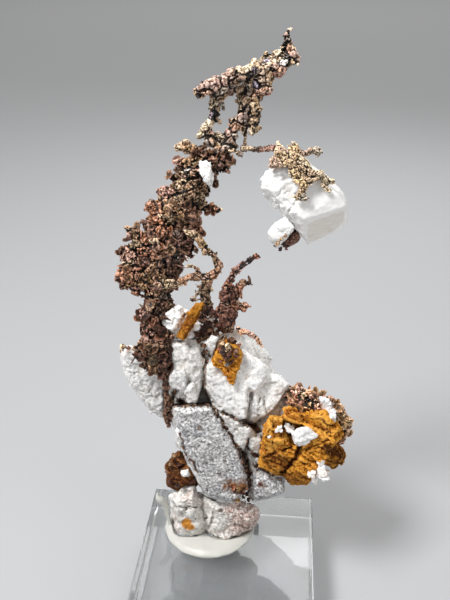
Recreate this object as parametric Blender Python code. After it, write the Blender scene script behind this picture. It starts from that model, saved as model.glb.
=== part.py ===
# Native copper grown over white calcite and ochre limonite, standing in mounting putty on a clear acrylic block.
# Run with: blender --background --python part.py
import itertools
import math
import random

import bmesh
import bpy
from mathutils import Euler, Matrix, Vector

MM = 0.001

# The block, in millimetres. The origin of the part is the middle of its underside.
BLOCK_SIDE = 38.0
BLOCK_HEIGHT = 12.0
BLOCK_EDGE = 0.35

# Where the specimen stands on the block, and how far it is turned about the vertical.
SPECIMEN_X = -4.3
SPECIMEN_Y = 6.8
SPECIMEN_TURN = math.radians(5.3)

# The specimen is drawn on the upright plane through its foot, as seen by an eye in front of it and above it.
EYE = Vector((3.4, -114.0, 119.9))

# Clearances and the putty, in millimetres.
REST_GAP = 0.3
TOUCH_GAP = 0.4
PUTTY_RADIUS = 9.0
PUTTY_HEIGHT = 2.1
PUTTY_SPREAD = 1.12
PUTTY_SIDES = 40
PUTTY_GRAIN = 0.32
FOOT_FLOOR = 1.0

# How finely grown copper and cleaved stone are drawn, in millimetres.
COPPER_GRAIN = 0.42
FINE_GRAIN = 0.34
WIRE_GRAIN = 0.26
CLEARANCE_GRAIN = 0.5
EARTHY_GRAIN = 0.5
LUMP_SPACING = 0.62
LUMP_ROUGHNESS = 0.22
LUMP_FULLNESS = 1.14
STONE_ROUGHNESS = 0.28

# Calcite breaks into blocks with this corner angle, in degrees, which lie nearly the same way in one mass.
CLEAVAGE_ANGLE = 74.9
CLEAVAGE_TURN = (math.radians(14), math.radians(-24), math.radians(20))
CLEAVAGE_WANDER = 9


def linear(channel):
    """One channel of an sRGB colour as linear light."""
    if channel <= 0.04045:
        return channel / 12.92
    return ((channel + 0.055) / 1.055) ** 2.4


def material(name, colour, roughness, metallic=0.0, alpha=1.0):
    mat = bpy.data.materials.new(name)
    mat.use_nodes = True
    shader = mat.node_tree.nodes["Principled BSDF"]
    channels = [int(colour[i:i + 2], 16) / 255 for i in (1, 3, 5)]
    shader.inputs["Base Color"].default_value = [linear(c) for c in channels] + [1.0]
    shader.inputs["Roughness"].default_value = roughness
    shader.inputs["Metallic"].default_value = metallic
    shader.inputs["Alpha"].default_value = alpha
    return mat


def at(x, z, depth):
    """A point drawn at x, z, moved along its line of sight to its depth behind the drawing plane."""
    reach = (depth - EYE.y) / -EYE.y
    return EYE + (Vector((x, 0.0, z)) - EYE) * reach


def hull(bm, points):
    """Adds the closed convex solid around some points."""
    verts = [bm.verts.new(point) for point in points]
    result = bmesh.ops.convex_hull(bm, input=verts)
    loose = {v for v in result["geom_interior"] + result["geom_unused"] if isinstance(v, bmesh.types.BMVert)}
    bmesh.ops.delete(bm, geom=list(loose), context="VERTS")


def lump(bm, rng, centre, radius):
    """Adds one blunt, uneven copper crystal."""
    ball = bmesh.ops.create_icosphere(bm, subdivisions=1, radius=radius * LUMP_FULLNESS)
    for vert in ball["verts"]:
        vert.co = vert.co * (1.0 + rng.uniform(-LUMP_ROUGHNESS, LUMP_ROUGHNESS)) + centre


def strand(bm, rng, *knots):
    """Adds a chain of lumps through knots, each drawn as x, z, depth and half thickness."""
    for start, end in zip(knots, knots[1:]):
        a, b = at(*start[:3]), at(*end[:3])
        step = LUMP_SPACING * min(start[3], end[3])
        count = max(2, math.ceil((b - a).length / step))
        for i in range(count + 1):
            share = i / count
            radius = start[3] + (end[3] - start[3]) * share
            sway = Vector([rng.uniform(-1, 1) for _ in range(3)]) * radius * LUMP_ROUGHNESS
            lump(bm, rng, a.lerp(b, share) + sway, radius * rng.uniform(0.88, 1.12))


def shoots(bm, rng, core, count, length, radius):
    """Adds side shoots that lean out of a core, mostly towards its back and its front."""
    for _ in range(count):
        x, z, depth, half = core[rng.randrange(len(core))]
        root = at(x, z, depth)
        out = Vector((rng.uniform(-0.45, 0.25), rng.choice((1, 1, -1)), rng.uniform(-0.3, 0.5))).normalized()
        tip = root + out * (half * 0.8 + length * rng.uniform(0.3, 1.0))
        steps = max(3, math.ceil((tip - root).length / (radius * 0.8)))
        for i in range(steps + 1):
            share = i / steps
            lump(bm, rng, root.lerp(tip, share), radius * (1.25 - 0.6 * share))


def chunk(outline, front, back, lean=0.0, floor=None, wear=1.1, face=0.84):
    """The points of a cleaved block: an outline as drawn, between two depths, with worn edges.

    lean brings the top of the block towards the eye, in millimetres of depth for each millimetre up.
    """
    middle_x = sum(x for x, _ in outline) / len(outline)
    middle_z = sum(z for _, z in outline) / len(outline)
    rings = ((front, face), (front + wear, 1.0), (back - wear, 1.0), (back, face))
    points = []
    for depth, size in rings:
        for x, z in outline:
            drawn_z = middle_z + (z - middle_z) * size
            point = at(middle_x + (x - middle_x) * size, drawn_z, depth - lean * (drawn_z - middle_z))
            if floor is not None:
                point.z = max(point.z, floor)
            points.append(point)
    return points


def rhomb(rng, x, z, depth, width, height, thickness):
    """The corners of a calcite cleavage block, set straight behind the drawing plane."""
    turn = Euler([math.radians(rng.uniform(-CLEAVAGE_WANDER, CLEAVAGE_WANDER)) + axis for axis in CLEAVAGE_TURN])
    slant = 1 / math.tan(math.radians(CLEAVAGE_ANGLE))
    corners = []
    for i, j, k in itertools.product((-0.5, 0.5), repeat=3):
        corner = Vector((i * width + slant * k * height, j * thickness + slant * i * width, k * height))
        corners.append(Vector((x, depth, z)) + turn.to_matrix() @ corner)
    return corners


def add_object(name, bm, mat, parent):
    bm.transform(Matrix.Scale(MM, 4))
    mesh = bpy.data.meshes.new(name)
    bm.to_mesh(mesh)
    bm.free()
    obj = bpy.data.objects.new(name, mesh)
    bpy.context.scene.collection.objects.link(obj)
    obj.parent = parent
    if mat is not None:
        mesh.materials.append(mat)
    return obj


def settle(obj):
    """Turns an object's modifiers into its own mesh."""
    bpy.context.view_layer.update()
    graph = bpy.context.evaluated_depsgraph_get()
    mesh = bpy.data.meshes.new_from_object(obj.evaluated_get(graph))
    obj.modifiers.clear()
    old = obj.data
    obj.data = mesh
    bpy.data.meshes.remove(old)
    mesh.name = obj.name


def boolean(obj, other, operation, use_self=False):
    cut = obj.modifiers.new(operation.lower(), "BOOLEAN")
    cut.operation = operation
    cut.object = other
    cut.solver = "EXACT"
    cut.use_self = use_self
    settle(obj)


def remesh(obj, grain):
    skin = obj.modifiers.new("skin", "REMESH")
    skin.mode = "VOXEL"
    skin.voxel_size = grain * MM
    skin.adaptivity = 0.0
    settle(obj)


def thin_out(obj, triangles):
    """Collapses a mesh to about a number of triangles."""
    obj.data.calc_loop_triangles()
    now = len(obj.data.loop_triangles)
    if now <= triangles:
        return
    fewer = obj.modifiers.new("fewer", "DECIMATE")
    fewer.ratio = triangles / now
    fewer.use_collapse_triangulate = True
    settle(obj)


def clear_of(obj, neighbours, gap=TOUCH_GAP):
    """Cuts an object back so that a small gap is left to each neighbour."""
    for neighbour in neighbours:
        cutter = bpy.data.objects.new("cutter", neighbour.data.copy())
        bpy.context.scene.collection.objects.link(cutter)
        cutter.parent = neighbour.parent
        cutter.hide_render = True
        cutter.display_type = "WIRE"
        swell = cutter.modifiers.new("swell", "DISPLACE")
        swell.strength = gap * MM
        swell.mid_level = 0.0
        settle(cutter)
        remesh(cutter, CLEARANCE_GRAIN)
        boolean(obj, cutter, "DIFFERENCE")
        bpy.data.objects.remove(cutter)


def largest_body(obj):
    """Keeps the largest connected body of a mesh and drops what was cut loose from it."""
    bm = bmesh.new()
    bm.from_mesh(obj.data)
    bmesh.ops.triangulate(bm, faces=bm.faces)
    left = set(bm.faces)
    bodies = []
    while left:
        seed = left.pop()
        body, open_faces = [seed], [seed]
        while open_faces:
            face = open_faces.pop()
            for edge in face.edges:
                for other in edge.link_faces:
                    if other in left:
                        left.discard(other)
                        body.append(other)
                        open_faces.append(other)
        bodies.append(body)
    bodies.sort(key=lambda body: sum(face.calc_area() for face in body), reverse=True)
    loose = [face for body in bodies[1:] for face in body]
    bmesh.ops.delete(bm, geom=loose, context="FACES")
    bmesh.ops.recalc_face_normals(bm, faces=bm.faces)
    bm.to_mesh(obj.data)
    bm.free()


def grown(name, mat, parent, seed, triangles, draw, neighbours=(), grain=COPPER_GRAIN):
    """A piece that grew as lumps run together: one skin over all of them."""
    rng = random.Random(seed)
    bm = bmesh.new()
    draw(bm, rng)
    obj = add_object(name, bm, mat, parent)
    remesh(obj, grain)
    largest_body(obj)
    if neighbours:
        clear_of(obj, neighbours)
        remesh(obj, grain)
        largest_body(obj)
    thin_out(obj, triangles)
    largest_body(obj)
    return obj


def cleaved(name, mat, parent, seed, triangles, blocks, neighbours=(), earthy=False):
    """A piece of stone: blocks with flat faces, joined into one solid. An earthy one has blunt edges."""
    rng = random.Random(seed)
    first, rest = bmesh.new(), bmesh.new()
    for i, points in enumerate(blocks):
        uneven = [p + Vector([rng.uniform(-1, 1) for _ in range(3)]) * STONE_ROUGHNESS for p in points]
        hull(rest if i else first, uneven)
    obj = add_object(name, first, mat, parent)
    if len(blocks) > 1:
        others = add_object(name + "_blocks", rest, None, parent)
        boolean(obj, others, "UNION", use_self=True)
        bpy.data.objects.remove(others)
    else:
        rest.free()
    clear_of(obj, neighbours)
    if earthy:
        remesh(obj, EARTHY_GRAIN)
        largest_body(obj)
    thin_out(obj, triangles)
    largest_body(obj)
    return obj


def make_block(mat):
    bm = bmesh.new()
    bmesh.ops.create_cube(bm, size=1.0)
    for vert in bm.verts:
        vert.co.x *= BLOCK_SIDE
        vert.co.y *= BLOCK_SIDE
        vert.co.z = (vert.co.z + 0.5) * BLOCK_HEIGHT
    bmesh.ops.bevel(bm, geom=bm.edges[:], offset=BLOCK_EDGE, segments=1, affect="EDGES")
    return add_object("acrylic_block", bm, mat, None)


def make_foot(mat, parent):
    left = [(-9, 10.5), (-6.7, 11.2), (-5, 13.5), (-3.5, 13.3), (-3, 8), (-2, 4), (-1.3, 1.5), (-1.5, -1),
            (-2.5, -3.2), (-5, -5.2), (-6.5, -4.5), (-7.5, -2.5), (-8.3, 1.5)]
    middle = [(-3.6, 11.5), (-2, 11), (0.5, 9.6), (1.5, 3), (0, -3.6), (-1.6, -1.5), (-2.4, 4)]
    right = [(-1, 9), (4, 8.8), (9.5, 8.1), (10.9, 6), (11, 4), (9.8, 0), (8.5, -1), (4.5, -2), (3.7, -3.8),
             (2.5, -4.6), (1, -4.3), (-0.3, -3.5), (-1, -1.5), (-1.2, 4)]
    blocks = [
        chunk(left, -5.0, 4.0, lean=0.10, floor=FOOT_FLOOR, wear=2.2, face=0.62),
        chunk(middle, -3.6, 4.5, floor=FOOT_FLOOR, wear=1.5, face=0.7),
        chunk(right, -4.6, 5.5, lean=0.12, floor=FOOT_FLOOR, wear=2.2, face=0.66),
    ]
    return cleaved("calcite_foot", mat, parent, 11, 300, blocks)


def make_putty(mat, parent, foot):
    """A low disc pressed up round the foot, with a strand drawn off its left side."""
    rings = ((0.90, REST_GAP), (1.0, REST_GAP + 0.5), (0.985, PUTTY_HEIGHT * 0.6), (0.90, PUTTY_HEIGHT * 0.92),
             (0.80, PUTTY_HEIGHT))

    def draw(bm, rng):
        points = []
        for share, height in rings:
            for i in range(PUTTY_SIDES):
                turn = 2 * math.pi * i / PUTTY_SIDES
                ripple = 1 + 0.03 * math.sin(2 * turn + 1) + 0.02 * math.sin(3 * turn)
                radius = PUTTY_RADIUS * share * ripple
                points.append(Vector((radius * PUTTY_SPREAD * math.cos(turn), radius * math.sin(turn), height)))
        hull(bm, points)
        strand(bm, rng, (-8.6, 2.8, 0.0, 0.9), (-9.4, 5.0, 0.0, 0.8), (-9.7, 8.0, 0.0, 0.75), (-10.9, 9.3, -0.4, 0.9),
               (-11.6, 10.4, -0.4, 0.5), (-11.3, 11.6, -0.4, 0.35), (-10.8, 12.9, -0.4, 0.3))
    return grown("mounting_putty", mat, parent, 21, 340, draw, [foot], grain=PUTTY_GRAIN)


def make_matrix(mat, parent, foot):
    left_wing = [(-16.5, 49.3), (-17, 46), (-15.5, 40.5), (-13.2, 35.5), (-11, 33.2), (-9, 31.3), (-8.6, 38),
                 (-8.6, 43), (-10, 47.5), (-13, 48.8)]
    top_block = [(-7.2, 50), (-2, 50.5), (-1.2, 48), (-0.5, 46.5), (-1, 44), (-1.5, 38.5), (-2.5, 36.5), (-6, 36.8),
                 (-7.2, 42)]
    top_lump = [(-7.8, 41), (-6.8, 43.8), (-4.6, 44), (-4, 41.5), (-5, 38.6), (-7, 38.8)]
    low_lump = [(-4.6, 39.5), (-3.2, 40.3), (-2.4, 38), (-2.6, 35.6), (-4.4, 35.6)]
    front_slab = [(-7, 34.5), (-6.8, 31), (-6, 28), (-5.8, 24.5), (-5, 21), (-2.5, 17), (-2.2, 14), (-0.5, 10.3),
                  (3, 8.7), (6, 8.6), (8.2, 13), (7.8, 17), (7.3, 20), (5.5, 25), (2.7, 31), (1.5, 33.5), (0, 35)]
    strip = [(2.3, 33), (4, 32.8), (7, 30.5), (9, 29), (10, 27.5), (8.3, 26.5), (7, 22.8), (5.5, 25.5), (4, 28.5)]
    middle_mass = [(-0.9, 45), (-0.8, 40), (0.2, 37), (1.5, 34.5), (3, 33), (5.5, 32), (7.8, 31), (8.3, 36),
                   (8.4, 41), (5, 45.5)]
    upper_mass = [(-0.6, 44), (0.2, 47.5), (1.5, 50.3), (4.7, 50.3), (7.2, 48.2), (9.5, 46), (11.5, 44.2), (12.6, 42),
                  (10, 38), (5, 40)]
    right_mass = [(8.0, 31), (9, 30.5), (12.8, 33), (15, 37), (16.4, 40.2), (14, 42), (12.3, 42.6), (9, 41)]
    top_ledge = [(1, 48), (2, 51.5), (4.7, 53.6), (6.8, 52), (7.2, 48.2), (5, 45)]
    white_wedge = [(-0.6, 49.5), (0.8, 51), (2, 51), (1.9, 49), (1, 46.6)]
    right_body = [(7.2, 23), (9.5, 29.5), (15, 37), (19.5, 35), (20, 20), (14, 12), (9, 9.5), (7.8, 15)]
    low_block = [(9.3, 16), (12, 16.5), (16, 15), (16.5, 12), (14, 10.5), (10.5, 9), (9, 9.5)]
    side_block = [(8.3, 26.8), (10.5, 27), (11.2, 26), (11, 22), (9.5, 22.3), (8.2, 23.2)]
    small_block = [(9.6, 20), (9.8, 22.2), (11.4, 22), (11.2, 20)]
    sliver = [(-6.3, 28.3), (-7, 26.5), (-6.8, 24.5), (-5.5, 22.5), (-4.5, 26)]
    inner_core = [(-10, 40), (-7, 46), (4, 47), (12, 39), (16, 30), (12, 15), (3, 11), (-3, 15), (-6, 26)]
    back_blocks = [
        (-10.5, 41.0, 4.2, 9, 11, 7), (-4.5, 43.5, 4.6, 8, 9, 8), (2.0, 44.0, 4.0, 9, 8, 8), (7.6, 40.4, 4.0, 8, 8, 8),
        (-6.0, 35.5, 5.0, 8, 8, 8), (0.5, 37.0, 6.6, 8, 9, 9), (7.0, 34.0, 6.2, 9, 8, 8), (12.6, 33.0, 3.6, 7, 8, 8),
        (-2.6, 28.6, 5.4, 7, 9, 8), (3.8, 28.0, 7.2, 8, 9, 8), (10.2, 26.2, 5.0, 8, 9, 8), (14.6, 23.6, 2.4, 6, 8, 7),
        (0.0, 20.4, 4.6, 7, 9, 8), (6.2, 18.6, 4.6, 8, 8, 8), (11.6, 17.4, 2.2, 7, 7, 7), (-6.6, 46.8, 3.0, 5, 5, 6),
        (4.6, 39.4, 9.0, 4, 4, 4), (-3.4, 33.0, 8.4, 4, 5, 4), (8.4, 29.6, 9.0, 4, 4, 4), (1.6, 23.4, 9.0, 4, 4, 4),
    ]
    blocks = [
        chunk(inner_core, -1.0, 6.5, wear=2.0, face=0.85),
        chunk(left_wing, -1.5, 6.0, lean=0.05, wear=1.6),
        chunk(top_block, -6.6, 4.5, lean=-0.06),
        chunk(top_lump, -8.0, -2.0),
        chunk(low_lump, -8.2, -3.0),
        chunk(front_slab, -8.0, 2.0, lean=0.07, wear=1.0, face=0.9),
        chunk(strip, -7.2, 1.0, wear=0.9),
        chunk(middle_mass, -7.0, 3.0, lean=-0.06, wear=1.6, face=0.88),
        chunk(upper_mass, -6.0, 5.0, lean=-0.16, wear=1.8, face=0.86),
        chunk(right_mass, -5.6, 6.0, lean=-0.1, wear=1.5, face=0.86),
        chunk(top_ledge, -4.4, 2.5),
        chunk(white_wedge, -7.4, -2.0, wear=0.6),
        chunk(right_body, -4.6, 5.5, wear=1.8),
        chunk(low_block, -6.0, 3.5),
        chunk(side_block, -6.9, -2.0, wear=0.8),
        chunk(small_block, -6.4, -2.0, wear=0.5),
        chunk(sliver, -5.0, 0.5, wear=0.8),
    ]
    rng = random.Random(32)
    blocks += [rhomb(rng, *block) for block in back_blocks]
    return cleaved("calcite_matrix", mat, parent, 31, 2080, blocks, [foot])


def make_left_limonite(mat, parent, neighbours):
    upper = [(-6.2, 23.3), (-8.5, 20.3), (-9.5, 19), (-8.5, 17.8), (-4, 17.8), (-4.4, 20.5)]
    lower = [(-8.6, 18.6), (-9.4, 13.8), (-7, 12.2), (-4.5, 14.0), (-2.4, 14.2), (-2.2, 17.5), (-4, 19)]
    blocks = [chunk(upper, -4.2, 3.0, wear=1.4, face=0.7), chunk(lower, -4.8, 4.0, wear=1.4, face=0.75)]
    return cleaved("brown_limonite", mat, parent, 41, 220, blocks, neighbours, earthy=True)


def make_limonite(mat, parent, neighbours):
    left_lobe = [(14, 32.3), (12.8, 31.5), (11.7, 29), (11, 26.5), (11.2, 22), (10.8, 19.5), (12.5, 18), (14, 16.5),
                 (16.5, 16), (18.2, 20), (18, 24), (16.5, 27), (14.5, 28.5)]
    right_lobe = [(18.4, 24), (18.6, 20), (16.8, 16), (18, 14), (21, 14.3), (22.5, 15.5), (24.5, 20), (25.5, 23),
                  (26.5, 25), (27.3, 27.5), (24, 28), (20, 26.5)]
    ridge = [(14, 32.3), (17, 31.2), (20, 30.2), (23, 28.5), (25, 30.5), (23.5, 33), (17, 33.5)]
    shoulder = [(21, 33.3), (23.5, 33), (25, 30.9), (27.7, 29), (27.3, 27), (24, 25.5), (20.5, 28)]
    backing = [(12.3, 30), (12, 20), (18, 15.5), (24, 19), (27, 28), (22, 33), (15, 32)]
    dark_lump = [(24.8, 23.2), (26.5, 24), (28.6, 23.2), (29, 21.5), (28, 19.8), (26, 19.4), (24, 20.5)]
    blocks = [
        chunk(backing, -6.0, 4.0, wear=2.0, face=0.8),
        chunk(left_lobe, -10.2, -2.0, wear=1.6, face=0.8),
        chunk(right_lobe, -10.8, -2.0, wear=1.6, face=0.8),
        chunk(ridge, -8.6, 0.0, wear=1.2, face=0.8),
        chunk(shoulder, -9.2, 1.0, wear=1.4),
        chunk(dark_lump, -7.0, -0.5, wear=1.2, face=0.7),
    ]
    return cleaved("ochre_limonite", mat, parent, 51, 700, blocks, neighbours, earthy=True)


def make_cavity_crystals(mat, parent, neighbours):
    """White calcite in the hollow between the lobes of limonite."""
    large = [(17.3, 28), (18.5, 29.2), (20.4, 29.4), (23, 27.3), (21.8, 25.5), (19.2, 24), (17.8, 25.2)]
    small = [(14.4, 28.6), (14.6, 29.8), (15.6, 30.2), (17.6, 29.4), (17.8, 28.2), (16, 27.6)]
    blocks = [
        chunk(large, -11.6, -6.4, lean=0.1, wear=0.9, face=0.72),
        chunk(small, -9.4, -6.2, wear=0.5, face=0.7),
    ]
    return cleaved("cavity_crystals", mat, parent, 55, 90, blocks, neighbours)


def make_edge_crust(mat, parent, neighbours):
    """Copper and quartz grown along the upper right edge of the limonite."""
    def draw(bm, rng):
        strand(bm, rng, (15.4, 39.3, -3.0, 0.9), (17.5, 37.8, -3.6, 1.3), (19, 37.6, -4.0, 1.4),
               (20.6, 36.8, -4.3, 1.4), (22.3, 35.3, -4.6, 1.5), (24, 34.8, -4.6, 1.6), (26.2, 33.6, -4.6, 1.3),
               (27.7, 32, -4.2, 1.0), (28.6, 30.6, -4.0, 0.9), (29.0, 29.0, -4.0, 0.6))
        strand(bm, rng, (24, 34.8, -4.6, 1.4), (25.2, 36.1, -4.4, 0.8))
        strand(bm, rng, (17, 36, -3.6, 1.6), (18.8, 35.2, -4.4, 1.9), (21, 34.4, -5.0, 1.9), (23.2, 33.4, -5.4, 1.8),
               (25.2, 31.8, -5.6, 1.7), (27, 30.2, -5.0, 1.4), (28.2, 28.6, -4.6, 1.0))
        strand(bm, rng, (17.5, 36.5, -0.5, 2.0), (20.5, 35, 0.0, 2.2), (24, 33, 0.0, 2.3), (26.8, 30.6, -0.8, 1.9),
               (27.6, 27.6, -1.5, 1.5))
        strand(bm, rng, (24, 33.4, -4.0, 1.8), (24, 33, 0.0, 2.0))
        strand(bm, rng, (20, 35.5, -4.0, 1.6), (20.5, 35, 0.0, 2.0))
    return grown("copper_quartz_crust", mat, parent, 61, 460, draw, neighbours)


def make_upper_calcite(mat, parent, neighbours):
    chunk_front = [(-8.3, 54.3), (-8, 56), (-6.7, 57.2), (-5.5, 58.2), (-4.2, 57.4), (-3.7, 56.8), (-4.8, 54.5),
                   (-6.3, 52.4), (-7, 52)]
    root = [(-6.8, 51.2), (-6.6, 54), (-4, 55), (-1.4, 54), (-0.8, 51.4)]
    bars = [(-2.2, 53.8), (-1.4, 53.3), (-3.0, 50.6), (-4.0, 50.8)]
    blocks = [
        chunk(root, -4.0, 2.0, wear=0.9),
        chunk(chunk_front, -6.4, -2.6, wear=0.9, face=0.75),
        chunk(bars, -5.6, -2.0, wear=0.5),
    ]
    return cleaved("upper_calcite", mat, parent, 71, 170, blocks, neighbours)


def make_sheet(mat, parent, neighbours):
    outline = [(-2.2, 58.5), (-0.7, 58), (-1.8, 55.5), (-4, 52), (-4.6, 50.9), (-5.6, 50.9), (-6, 51.8), (-3.6, 56)]
    blocks = [chunk(outline, -7.9, -6.1, lean=-0.1, wear=0.4, face=0.92)]
    return cleaved("limonite_sheet", mat, parent, 81, 80, blocks, neighbours)


def make_trunk(mat, parent, neighbours):
    """The dark lower copper, which runs down between the left wing and the middle blocks."""
    core = ((-9.2, 45.5, -4.8, 2.2), (-9.7, 49, -4.8, 2.5), (-9.8, 53, -4.2, 2.5), (-9.5, 57, -3.6, 2.4),
            (-9.2, 60.6, -3.0, 2.4))

    def draw(bm, rng):
        strand(bm, rng, *core)
        strand(bm, rng, (-10, 57, -4, 1.4), (-11.5, 56.6, -4.2, 1.1), (-13.2, 55.7, -4.4, 0.65))
        strand(bm, rng, (-11, 51.5, -4, 1.3), (-12.8, 49.6, -4.2, 0.8), (-13.2, 47.5, -4.4, 0.85),
               (-13.4, 46, -4.5, 0.6))
        strand(bm, rng, (-10.5, 48, -4.6, 1.2), (-12.1, 46.2, -4.7, 0.8), (-12.3, 44.3, -4.8, 0.6))
        strand(bm, rng, (-8, 58, -3.2, 1.1), (-7, 58.7, -3.2, 0.7), (-6.4, 58.0, -3.2, 0.5))
        strand(bm, rng, (-8.6, 53, -4.2, 1.5), (-7.4, 51.8, -4.6, 1.0), (-7, 50.2, -5.0, 0.9))
        strand(bm, rng, (-9, 45, -4.8, 2.0), (-8.4, 43, -4.8, 1.4), (-8.3, 41.6, -4.4, 0.8), (-8.3, 38, -3.8, 0.7),
               (-8.1, 36, -3.7, 0.85), (-8.4, 32, -3.2, 0.9), (-8.2, 29.6, -2.8, 0.6))
        shoots(bm, rng, core, 14, 1.6, 0.75)
    return grown("copper_trunk", mat, parent, 91, 700, draw, neighbours)


def make_plume(mat, parent, neighbours):
    """The leafy left mass of copper above the trunk."""
    core = ((-9.2, 60.8, -3.0, 2.3), (-9, 63, -2.6, 2.7), (-8.5, 66, -2.4, 3.0), (-8, 69, -2.0, 3.1),
            (-7.3, 72, -1.9, 2.9), (-6.3, 75, -1.6, 2.8), (-5, 78, -1.3, 2.7), (-3.3, 81, -1.0, 2.3),
            (-1.7, 84, -0.6, 2.1), (0.4, 86.4, -0.2, 1.7))

    def draw(bm, rng):
        strand(bm, rng, *core)
        # Leaves down the left side, from the lowest to the highest
        strand(bm, rng, (-11, 62.6, -3.2, 1.4), (-12.6, 61.9, -3.2, 0.9), (-13.3, 60.7, -3.2, 0.75))
        strand(bm, rng, (-11.5, 63.5, -3.2, 1.5), (-14, 62.4, -3.4, 0.8), (-15.6, 62, -3.5, 0.55))
        strand(bm, rng, (-9.5, 63.8, -2.8, 2.0), (-12.5, 64.5, -3.2, 1.8), (-14.6, 64.5, -3.4, 1.3),
               (-16.0, 63.8, -3.6, 0.8), (-17, 63.6, -3.6, 0.35))
        strand(bm, rng, (-11.5, 66.2, -2.8, 1.7), (-13.6, 66.2, -3.1, 1.1), (-15.7, 66.3, -3.2, 0.7))
        strand(bm, rng, (-9.5, 67.4, -2.2, 2.2), (-12.5, 67.8, -2.7, 1.8), (-14.8, 68.7, -3.0, 0.9),
               (-15.8, 69.1, -3.0, 0.55))
        strand(bm, rng, (-10.5, 70, -2.1, 1.6), (-12.6, 70.1, -2.3, 0.9), (-14.9, 70.1, -2.5, 0.5))
        strand(bm, rng, (-9.3, 71, -2.1, 1.9), (-11.5, 71.5, -2.1, 1.2), (-13, 72.7, -2.3, 0.8),
               (-14.2, 73.7, -2.3, 0.6))
        strand(bm, rng, (-7.5, 73.8, -1.7, 2.1), (-9.5, 74.6, -1.7, 1.2), (-10.8, 74.9, -1.7, 0.7))
        strand(bm, rng, (-6.3, 76.6, -1.5, 1.9), (-8.2, 77.4, -1.5, 1.2), (-9.5, 77.8, -1.5, 1.0),
               (-10.4, 77.6, -1.5, 0.5))
        strand(bm, rng, (-4.6, 79.2, -1.1, 1.8), (-6.3, 79.9, -1.1, 1.0), (-7.6, 80.9, -1.1, 0.65))
        strand(bm, rng, (-3.3, 81.6, -0.9, 1.4), (-4.8, 82.1, -0.9, 0.8))
        strand(bm, rng, (-2.6, 83.2, -0.7, 1.2), (-4.6, 83.8, -0.7, 0.65), (-6.5, 82.9, -0.8, 0.45))
        strand(bm, rng, (-1.2, 85.4, -0.4, 1.2), (-3.2, 85.9, -0.4, 0.8), (-4.7, 85.6, -0.5, 0.65))
        # Knobs on the right side, from the lowest to the highest
        strand(bm, rng, (-6.6, 66.8, -2.2, 1.6), (-5.8, 65.4, -2.2, 1.1), (-5.9, 64.2, -2.2, 0.7))
        strand(bm, rng, (-5.2, 71.4, -1.8, 1.6), (-3.4, 69.9, -1.6, 1.1), (-3.1, 68.4, -1.6, 0.7))
        strand(bm, rng, (-5, 74.6, -1.6, 2.0), (-3.0, 74.4, -1.3, 1.5), (-2.4, 72.9, -1.3, 0.9))
        strand(bm, rng, (-2.6, 77.6, -1.2, 1.6), (0, 77.8, -1.2, 0.8), (1.7, 77.6, -1.2, 0.65), (2.5, 76.8, -1.3, 0.35))
        strand(bm, rng, (-1.6, 80.6, -0.9, 1.6), (0.3, 80.6, -0.9, 0.9))
        strand(bm, rng, (-0.4, 83, -0.6, 1.5), (1.2, 82.8, -0.6, 0.9))
        strand(bm, rng, (1, 85.4, -0.3, 1.5), (2.9, 84.7, -0.3, 1.0), (4.1, 84.1, -0.3, 0.6))
        strand(bm, rng, (1.5, 86.2, -0.2, 1.3), (4.4, 86.1, -0.1, 1.0))
        shoots(bm, rng, core[:-1], 46, 2.2, 0.8)
    return grown("copper_plume", mat, parent, 101, 1540, draw, neighbours)


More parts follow.
